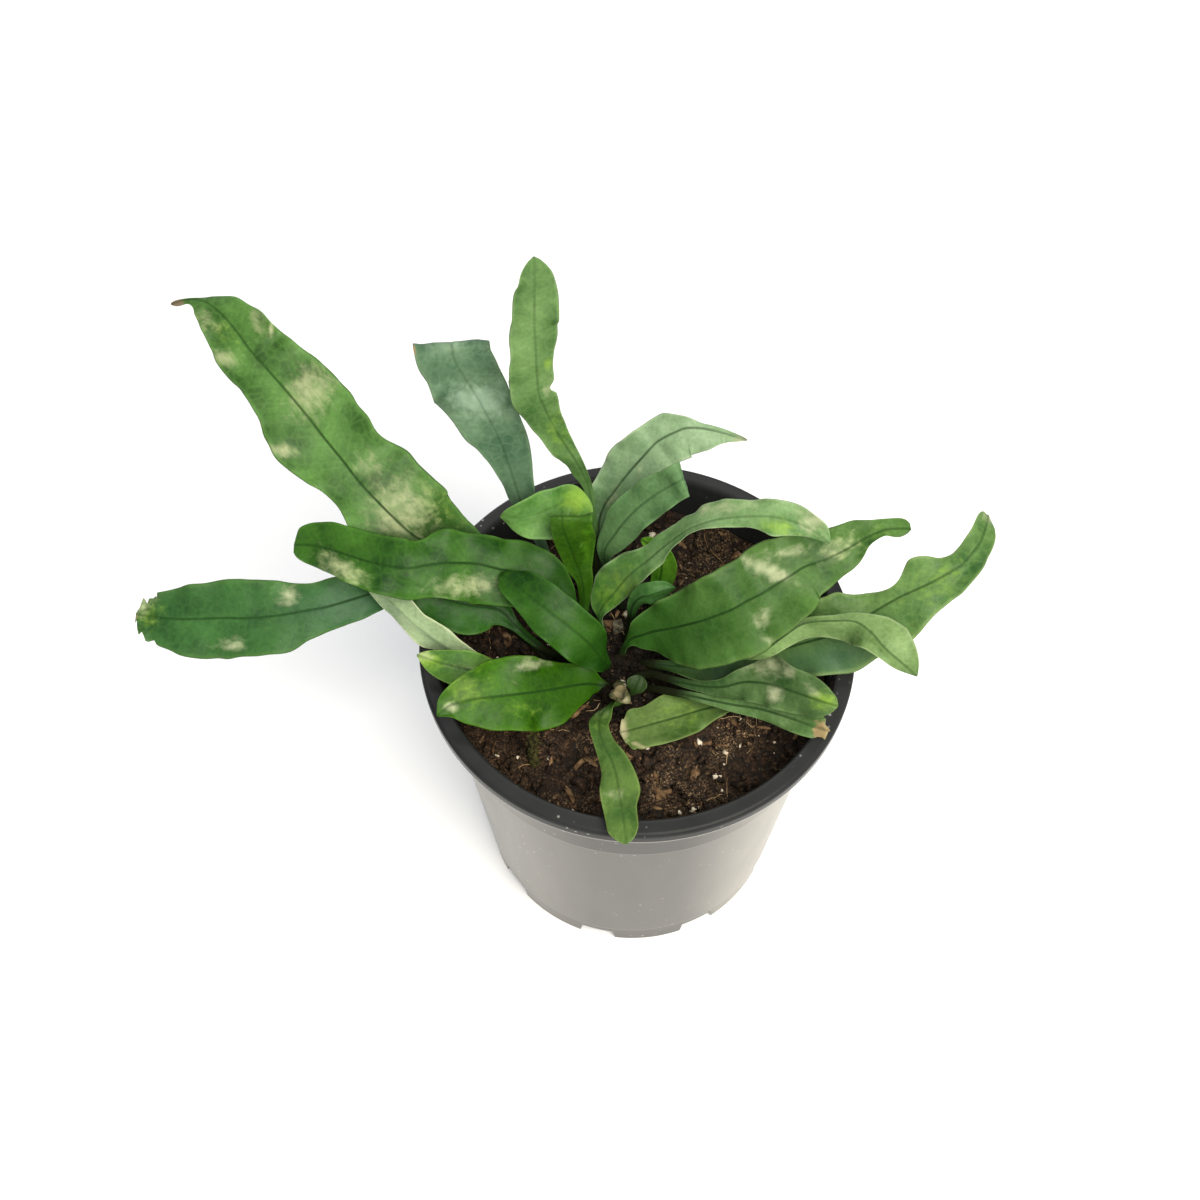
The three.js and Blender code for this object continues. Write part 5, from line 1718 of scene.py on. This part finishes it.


# Each frond's colours and marks: deep and light mottle the blade, margin edges it, foot darkens
# its start (partly as painted shade in the crown), rib is how dark the midrib is, and pale, dry
# and yellow colour the marks; some pale marks are painted highlights, and shade marks are painted shade.
leafLooks = {
    "frond_left_long": {
        "deep": "#1e3d10", "light": "#517937", "pale": "#a8ac82", "dry": "#6f5f4c", "margin": "#608644",
        "marks": [
            # the pale mark at (226, 358) is a painted highlight on the margin
            ("pale", (311, 392), (26, 32), 30, 1), ("pale", (226, 358), (18, 10), 0, 1),
            ("pale", (284, 451), (18, 9), 10, 1), ("pale", (402, 510), (40, 38), 40, 0.95),
            ("pale", (258, 322), (22, 10), 60, 0.7), ("pale", (368, 465), (22, 16), 40, 0.7),
            # the pale mark at (271, 329) is a painted highlight
            ("pale", (271, 329), (3, 12), 10, 1.2), ("dry", (172, 303), (14, 8), 0, 1.2),
            ("yellow", (440, 500), (40, 30), 40, 0.5), ("yellow", (225, 335), (34, 20), 40, 0.45),
            ("pale", (205, 320), (18, 12), 30, 0.7),
        ],
    },
    "frond_left_low": {
        "deep": "#1c3f1a", "light": "#3b642f", "margin": "#4a6a32",
        "marks": [
            ("pale", (288, 596), (13, 12), 0, 0.9), ("pale", (233, 645), (16, 8), 0, 0.9),
            ("yellow", (147, 612), (18, 26), 0, 0.7), ("pale", (143, 604), (10, 16), 20, 0.95),
            ("dry", (134, 612), (3, 20), 0, 0.7), ("shade", (350, 604), (50, 30), 0, 0.6),
        ],
    },
    "frond_left_mid": {
        "deep": "#123407", "light": "#36601a", "pale": "#a9b084", "margin": "#476f26",
        "marks": [
            ("pale", (343, 569), (30, 12), 28, 1), ("pale", (466, 586), (40, 13), -3, 1),
            ("yellow", (345, 572), (34, 16), 28, 0.5),
        ],
    },
    "frond_left_pale": {"deep": "#5f7653", "light": "#91a37a", "margin": "#d3d5ae", "rib": 0.3},
    "frond_left_inner": {
        "deep": "#15390d", "light": "#2d5919", "margin": "#507034",
        "marks": [("pale", (440, 590), (30, 8), 5, 0.6)],
    },
    "frond_centre_dark": {"deep": "#113305", "light": "#2b5310", "margin": "#335b1a", "rib": 0.45},
    "frond_front_left": {
        "deep": "#1a3c02", "light": "#37620a", "margin": "#466b12",
        "marks": [
            # the pale marks at (530, 665) and (452, 707) are painted highlights
            ("pale", (530, 665), (22, 9), -12, 0.8), ("yellow", (466, 690), (34, 24), 0, 0.7),
            ("pale", (452, 707), (9, 6), 0, 1), ("yellow", (520, 710), (30, 12), 0, 0.5),
        ],
    },
    "frond_front_left_back": {
        "deep": "#2c5317", "light": "#567d2e", "margin": "#7e9c44",
        "marks": [
            ("yellow", (426, 659), (20, 10), 15, 1.2), ("pale", (424, 656), (12, 8), 15, 0.9),
            ("pale", (470, 668), (30, 5), 10, 0.6),
        ],
    },
    "frond_front_small": {
        "deep": "#31501d", "light": "#546e31", "margin": "#728440", "rib": 0.45,
        "marks": [
            ("pale", (600, 712), (9, 10), 0, 0.5), ("yellow", (600, 722), (14, 12), 0, 0.5),
            ("pale", (612, 795), (16, 7), -10, 0.7),
        ],
    },
    "frond_front_right_dry": {
        "deep": "#354f1d", "light": "#5b723a", "dry": "#8a7446", "pale": "#c2b892", "margin": "#7f8f54",
        "marks": [
            ("dry", (616, 722), (3, 10), 0, 0.9), ("pale", (620, 727), (8, 16), -15, 1.5),
            # the pale mark at (640, 746) is a painted glint
            ("pale", (640, 746), (13, 3), 25, 1), ("yellow", (680, 715), (40, 20), 0, 0.5),
        ],
    },
    "frond_right_low": {
        "deep": "#28461d", "light": "#4d6639", "foot": "#0d1e09", "margin": "#5e7346",
        "marks": [
            ("pale", (774, 694), (10, 10), 20, 1.15), ("pale", (790, 672), (9, 8), 0, 1),
            ("pale", (768, 665), (28, 15), 0, 0.85), ("yellow", (825, 702), (20, 14), 20, 0.9),
            ("pale", (812, 690), (10, 6), 30, 0.8),
        ],
    },
    "frond_right_dry_tip": {
        "deep": "#345622", "light": "#5d7848", "foot": "#0c1c08", "margin": "#6a804c",
        "dry": "#94805a", "pale": "#cfc3a0",
        "marks": [("dry", (822, 732), (9, 13), 0, 1), ("pale", (829, 729), (7, 8), 0, 1.3)],
    },
    "frond_right_big": {
        "deep": "#224212", "light": "#48692e", "foot": "#254c13", "margin": "#5b743d",
        "marks": [
            # the long pale marks on this blade are partly pale patches and partly painted sheen
            ("pale", (768, 570), (32, 9), 26, 1.1), ("pale", (762, 617), (11, 13), 0, 0.85),
            ("yellow", (850, 545), (50, 18), -20, 0.45), ("pale", (790, 552), (34, 8), -12, 0.7),
            ("pale", (770, 640), (9, 6), 0, 0.75), ("pale", (840, 548), (30, 14), -25, 0.75),
        ],
    },
    "frond_right_far": {
        "deep": "#2e5123", "light": "#617f44", "foot": "#173412", "margin": "#83995f",
        "marks": [
            ("pale", (989, 516), (10, 10), 0, 0.7), ("yellow", (940, 580), (60, 26), -30, 0.55),
            ("shade", (830, 662), (52, 22), -8, 0.8), ("shade", (760, 672), (40, 16), 0, 0.5),
        ],
    },
    "frond_right_curled": {"deep": "#42602d", "light": "#758e57", "margin": "#99a97c"},
    "frond_back_right_arch": {
        "deep": "#3e642c", "light": "#769261", "foot": "#2c5a15", "margin": "#95a481", "rib": 0.45,
        "marks": [
            ("yellow", (780, 528), (24, 10), 15, 0.95), ("pale", (715, 508), (62, 7), -5, 0.8),
            ("pale", (812, 522), (18, 16), 40, 1), ("yellow", (618, 588), (36, 26), -40, 0.7),
        ],
    },
    # lighter colours: partly painted light, as this upright blade gets little light from above
    "frond_back_right_tall": {
        "deep": "#5e7c54", "light": "#829a75", "foot": "#365b36", "margin": "#9caa8b",
        "marks": [
            ("pale", (742, 440), (14, 6), 0, 1), ("pale", (612, 500), (7, 24), 25, 0.65),
            ("pale", (640, 470), (4, 4), 0, 1),
        ],
    },
    "frond_back_right_folded": {"deep": "#395c33", "light": "#628253", "margin": "#688558", "rib": 0.5},
    "frond_back_tall": {
        "deep": "#355727", "light": "#63814b", "margin": "#7c9464", "rib": 0.4,
        "marks": [
            # the pale mark at (548, 388) is a painted glint on a fold
            ("pale", (548, 388), (5, 12), 10, 0.8), ("yellow", (560, 430), (20, 30), -20, 0.6),
            ("yellow", (548, 364), (7, 7), 0, 0.9),
        ],
    },
    # lighter colours: partly painted light, as this upright blade gets little light from above
    "frond_back_bluish": {
        "deep": "#36533a", "light": "#60795c", "pale": "#8fa78f", "margin": "#698160", "rib": 0.35,
        "marks": [
            ("pale", (476, 400), (34, 20), 10, 1.1), ("dry", (411, 353), (6, 9), 0, 0.9),
            ("pale", (445, 340), (34, 12), 0, 0.7),
        ],
    },
    "frond_crown_arch": {
        "deep": "#2f5a1e", "light": "#608743", "margin": "#7e9f60", "rib": 0.12,
        "marks": [("yellow", (577, 500), (18, 16), 0, 1.2)],
    },
    "frond_crown_upright": {
        "deep": "#1b3e06", "light": "#375b0f", "margin": "#486b1d", "rib": 0.5, "yellow": "#4f8213",
        "marks": [("yellow", (588, 540), (9, 32), 0, 0.75)],
    },
    "frond_crown_curl": {"deep": "#214819", "light": "#416733", "margin": "#4c6e3b"},
    "frond_crown_small": {"deep": "#356b13", "light": "#5d8e26", "margin": "#68922f"},
    "round_leaf": {"deep": "#112609", "light": "#253914", "margin": "#3c4d24"},
    "dead_scrap": {
        "deep": "#34331c", "light": "#636744", "margin": "#3d351c", "rib": 0.1,
        "pale": "#a89e7b", "dry": "#746a4d",
        "marks": [("dry", (617, 692), (7, 8), 0, 0.9), ("pale", (626, 700), (6, 5), 0, 1)],
    },
}

leafSurface = {
    "ribHalfWidth": 0.52,
    "rib": "#142c0f",
    "ribShare": 0.86,
    "stalk": "#15150b",
    "mottle": 11,
    "vein": 3.1,
    "streak": 2.2,
    "fleck": 1.1,
    "fine": 0.7,
    "patchGrain": 2.1,
    "patches": (  # each kind of mark with its channel, where it starts and is whole, and its cover
        ("yellow", "Z", 1.05, 2.2, 0.7),
        ("pale", "X", 1.0, 2.25, 0.76),
        ("dry", "Y", 1.12, 1.55, 0.95),
    ),
    "pale": "#b2b690",
    "dry": "#8f7650",
    "yellow": "#86a838",
    # the colour of the painted shade marks
    "shade": "#31503c",
}


def fernLeaf(name, look):
    # Fern blade, grown: leathery and satin, dark along the midrib, lighter at the margins,
    # softly mottled, with a faint net of veins
    s = leafSurface
    material, tree = newMaterial("fern_blade_leathery_" + name.replace("frond_", ""))
    body = addNode(tree, "ShaderNodeTexCoord").outputs["Object"]
    values = []
    for label in ("leafPlace", "leafMarks", "leafForm"):
        value = addNode(tree, "ShaderNodeAttribute", {"attribute_name": label}).outputs["Vector"]
        values.append(addNode(tree, "ShaderNodeSeparateXYZ", links={0: value}).outputs)
    place, kinds, shares = values
    across = addNode(tree, "ShaderNodeMath", {"operation": "ABSOLUTE"}, {0: place["Y"]})
    reach = addNode(tree, "ShaderNodeMath", {"operation": "DIVIDE"}, {0: across, 1: place["Z"]})

    mottle = addNode(
        tree, "ShaderNodeTexNoise", {"Scale": perMetre(s["mottle"]), "Detail": 3}, {"Vector": body}
    )
    mottleShare = addNode(
        tree, "ShaderNodeMapRange", {"From Min": 0.3, "From Max": 0.7}, {"Value": mottle}
    )
    colour = addNode(
        tree,
        "ShaderNodeMixRGB",
        {"Color1": linear(look["deep"]), "Color2": linear(look["light"])},
        {"Fac": mottleShare},
    )
    # Fine flecks, lighter and darker than the ground
    fleck = addNode(
        tree,
        "ShaderNodeTexNoise",
        {"Scale": perMetre(s["fleck"]), "Detail": 4, "Roughness": 0.7},
        {"Vector": body},
    )
    fleckShare = addNode(
        tree,
        "ShaderNodeMapRange",
        {"From Min": 0.3, "From Max": 0.7, "To Min": 0.8, "To Max": 1.2},
        {"Value": fleck},
    )
    colour = addNode(
        tree, "ShaderNodeVectorMath", {"operation": "SCALE"}, {0: colour, "Scale": fleckShare}
    )

    # The net of veins, in the blade's own place along and across
    flatPlace = addNode(tree, "ShaderNodeCombineXYZ", links={"X": place["X"], "Y": place["Y"]})
    net = addNode(
        tree,
        "ShaderNodeTexVoronoi",
        {"feature": "DISTANCE_TO_EDGE", "Scale": 1 / s["vein"]},
        {"Vector": flatPlace},
    )
    netShare = addNode(
        tree,
        "ShaderNodeMapRange",
        {"From Max": 0.16, "To Min": 0.28, "To Max": 0},
        {"Value": net.outputs["Distance"]},
    )
    # Faint streaks that lean from the midrib to the margin
    lean = addNode(
        tree, "ShaderNodeMath", {"operation": "MULTIPLY_ADD", 1: -0.7}, {0: across, 2: place["X"]}
    )
    leaning = addNode(tree, "ShaderNodeCombineXYZ", links={"X": lean})
    streak = addNode(
        tree, "ShaderNodeTexNoise", {"Scale": 1 / s["streak"], "Detail": 2}, {"Vector": leaning}
    )
    streakShare = addNode(
        tree,
        "ShaderNodeMapRange",
        {"From Min": 0.45, "From Max": 0.75, "To Max": 0.26},
        {"Value": streak},
    )
    # Darker towards the foot, partly the stalk's own dark base and partly painted shade in the crown, and
    # painted bluish shade where the plant shades itself
    footShare = addNode(
        tree,
        "ShaderNodeMapRange",
        {"From Min": 0.62, "From Max": 0.12, "To Max": 0.8, "interpolation_type": "SMOOTHSTEP"},
        {"Value": shares["Y"]},
    )
    shade = addNode(tree, "ShaderNodeMath", {"operation": "MULTIPLY", 1: 0.8}, {0: shares["Z"]})
    edge = addNode(
        tree,
        "ShaderNodeMapRange",
        {"From Min": 0.84, "To Max": 0.4, "interpolation_type": "SMOOTHSTEP"},
        {"Value": reach},
    )
    layers = [
        (netShare, look["light"]),
        (streakShare, look["deep"]),
        (footShare, look.get("foot", look["deep"])),
        (shade, s["shade"]),
        (edge, look["margin"]),
    ]

    # Patches, broken up by a grain of their own
    drawn = addNode(
        tree, "ShaderNodeVectorMath", {"operation": "MULTIPLY", 1: (0.62, 0.9, 1)}, {0: flatPlace}
    )
    grain = addNode(
        tree,
        "ShaderNodeTexNoise",
        {"Scale": 1 / s["patchGrain"], "Detail": 6, "Roughness": 0.58, "Distortion": 0.3},
        {"Vector": drawn},
    )
    # the pale patches include painted highlights
    for hue, axis, start, whole, cover in s["patches"]:
        broken = addNode(
            tree, "ShaderNodeMath", {"operation": "MULTIPLY_ADD", 1: 1.6}, {0: grain, 2: kinds[axis]}
        )
        gated = addNode(
            tree,
            "ShaderNodeMapRange",
            {"From Min": start, "From Max": whole, "To Max": cover, "interpolation_type": "SMOOTHSTEP"},
            {"Value": broken},
        )
        layers.append((gated, look.get(hue, s[hue])))

    # The midrib fades towards the tip, and here and there on its way, and the stalk is brown
    rib = addNode(
        tree,
        "ShaderNodeMapRange",
        {
            "From Min": s["ribHalfWidth"],
            "From Max": s["ribHalfWidth"] * 0.4,
            "To Max": look.get("rib", s["ribShare"]),
            "interpolation_type": "SMOOTHSTEP",
        },
        {"Value": across},
    )
    fading = addNode(
        tree,
        "ShaderNodeMapRange",
        {"From Min": 0.5, "To Min": 1, "To Max": 0.55},
        {"Value": shares["Y"]},
    )
    worn = addNode(
        tree,
        "ShaderNodeMapRange",
        {"From Min": 0.35, "From Max": 0.6, "To Min": 0.72},
        {"Value": mottle},
    )
    for share in (fading, worn):
        rib = addNode(tree, "ShaderNodeMath", {"operation": "MULTIPLY"}, {0: rib, 1: share})
    stem = addNode(
        tree,
        "ShaderNodeMapRange",
        {"From Min": 0.05, "From Max": 0.9, "To Max": 0.92},
        {"Value": shares["X"]},
    )
    layers += [(rib, s["rib"]), (stem, s["stalk"])]
    for share, hue in layers:
        colour = addNode(
            tree, "ShaderNodeMixRGB", {"Color2": linear(hue)}, {"Fac": share, "Color1": colour}
        )

    dull = addNode(tree, "ShaderNodeMath", {"operation": "MAXIMUM"}, {0: rib, 1: stem})
    sheen = addNode(tree, "ShaderNodeMapRange", {"To Min": 0.15, "To Max": 0.03}, {"Value": dull})
    fine = addNode(
        tree, "ShaderNodeTexNoise", {"Scale": perMetre(s["fine"]), "Detail": 3}, {"Vector": body}
    )
    height = addNode(
        tree, "ShaderNodeMath", {"operation": "MULTIPLY_ADD", 1: 1.6}, {0: netShare, 2: fine}
    )
    bump = addNode(tree, "ShaderNodeBump", {"Strength": 0.35, "Distance": 0.12 * mm}, {"Height": height})
    rough = addNode(
        tree,
        "ShaderNodeMapRange",
        {"From Min": 0.3, "From Max": 0.7, "To Min": 0.4, "To Max": 0.55},
        {"Value": grain},
    )
    shader = addNode(
        tree,
        "ShaderNodeBsdfPrincipled",
        {
            "Subsurface Weight": 0.06,
            "Subsurface Radius": (0.6, 1.0, 0.3),
            "Subsurface Scale": 0.8 * mm,
        },
        {"Base Color": colour, "Roughness": rough, "Normal": bump, "Specular IOR Level": sheen},
    )
    finishMaterial(tree, shader)
    return material


for frond in fronds:
    look = leafLooks[frond["name"]]
    addFrond(frond, look, fernLeaf(frond["name"], look))
print(len(fronds), "fronds and leaves have grown")
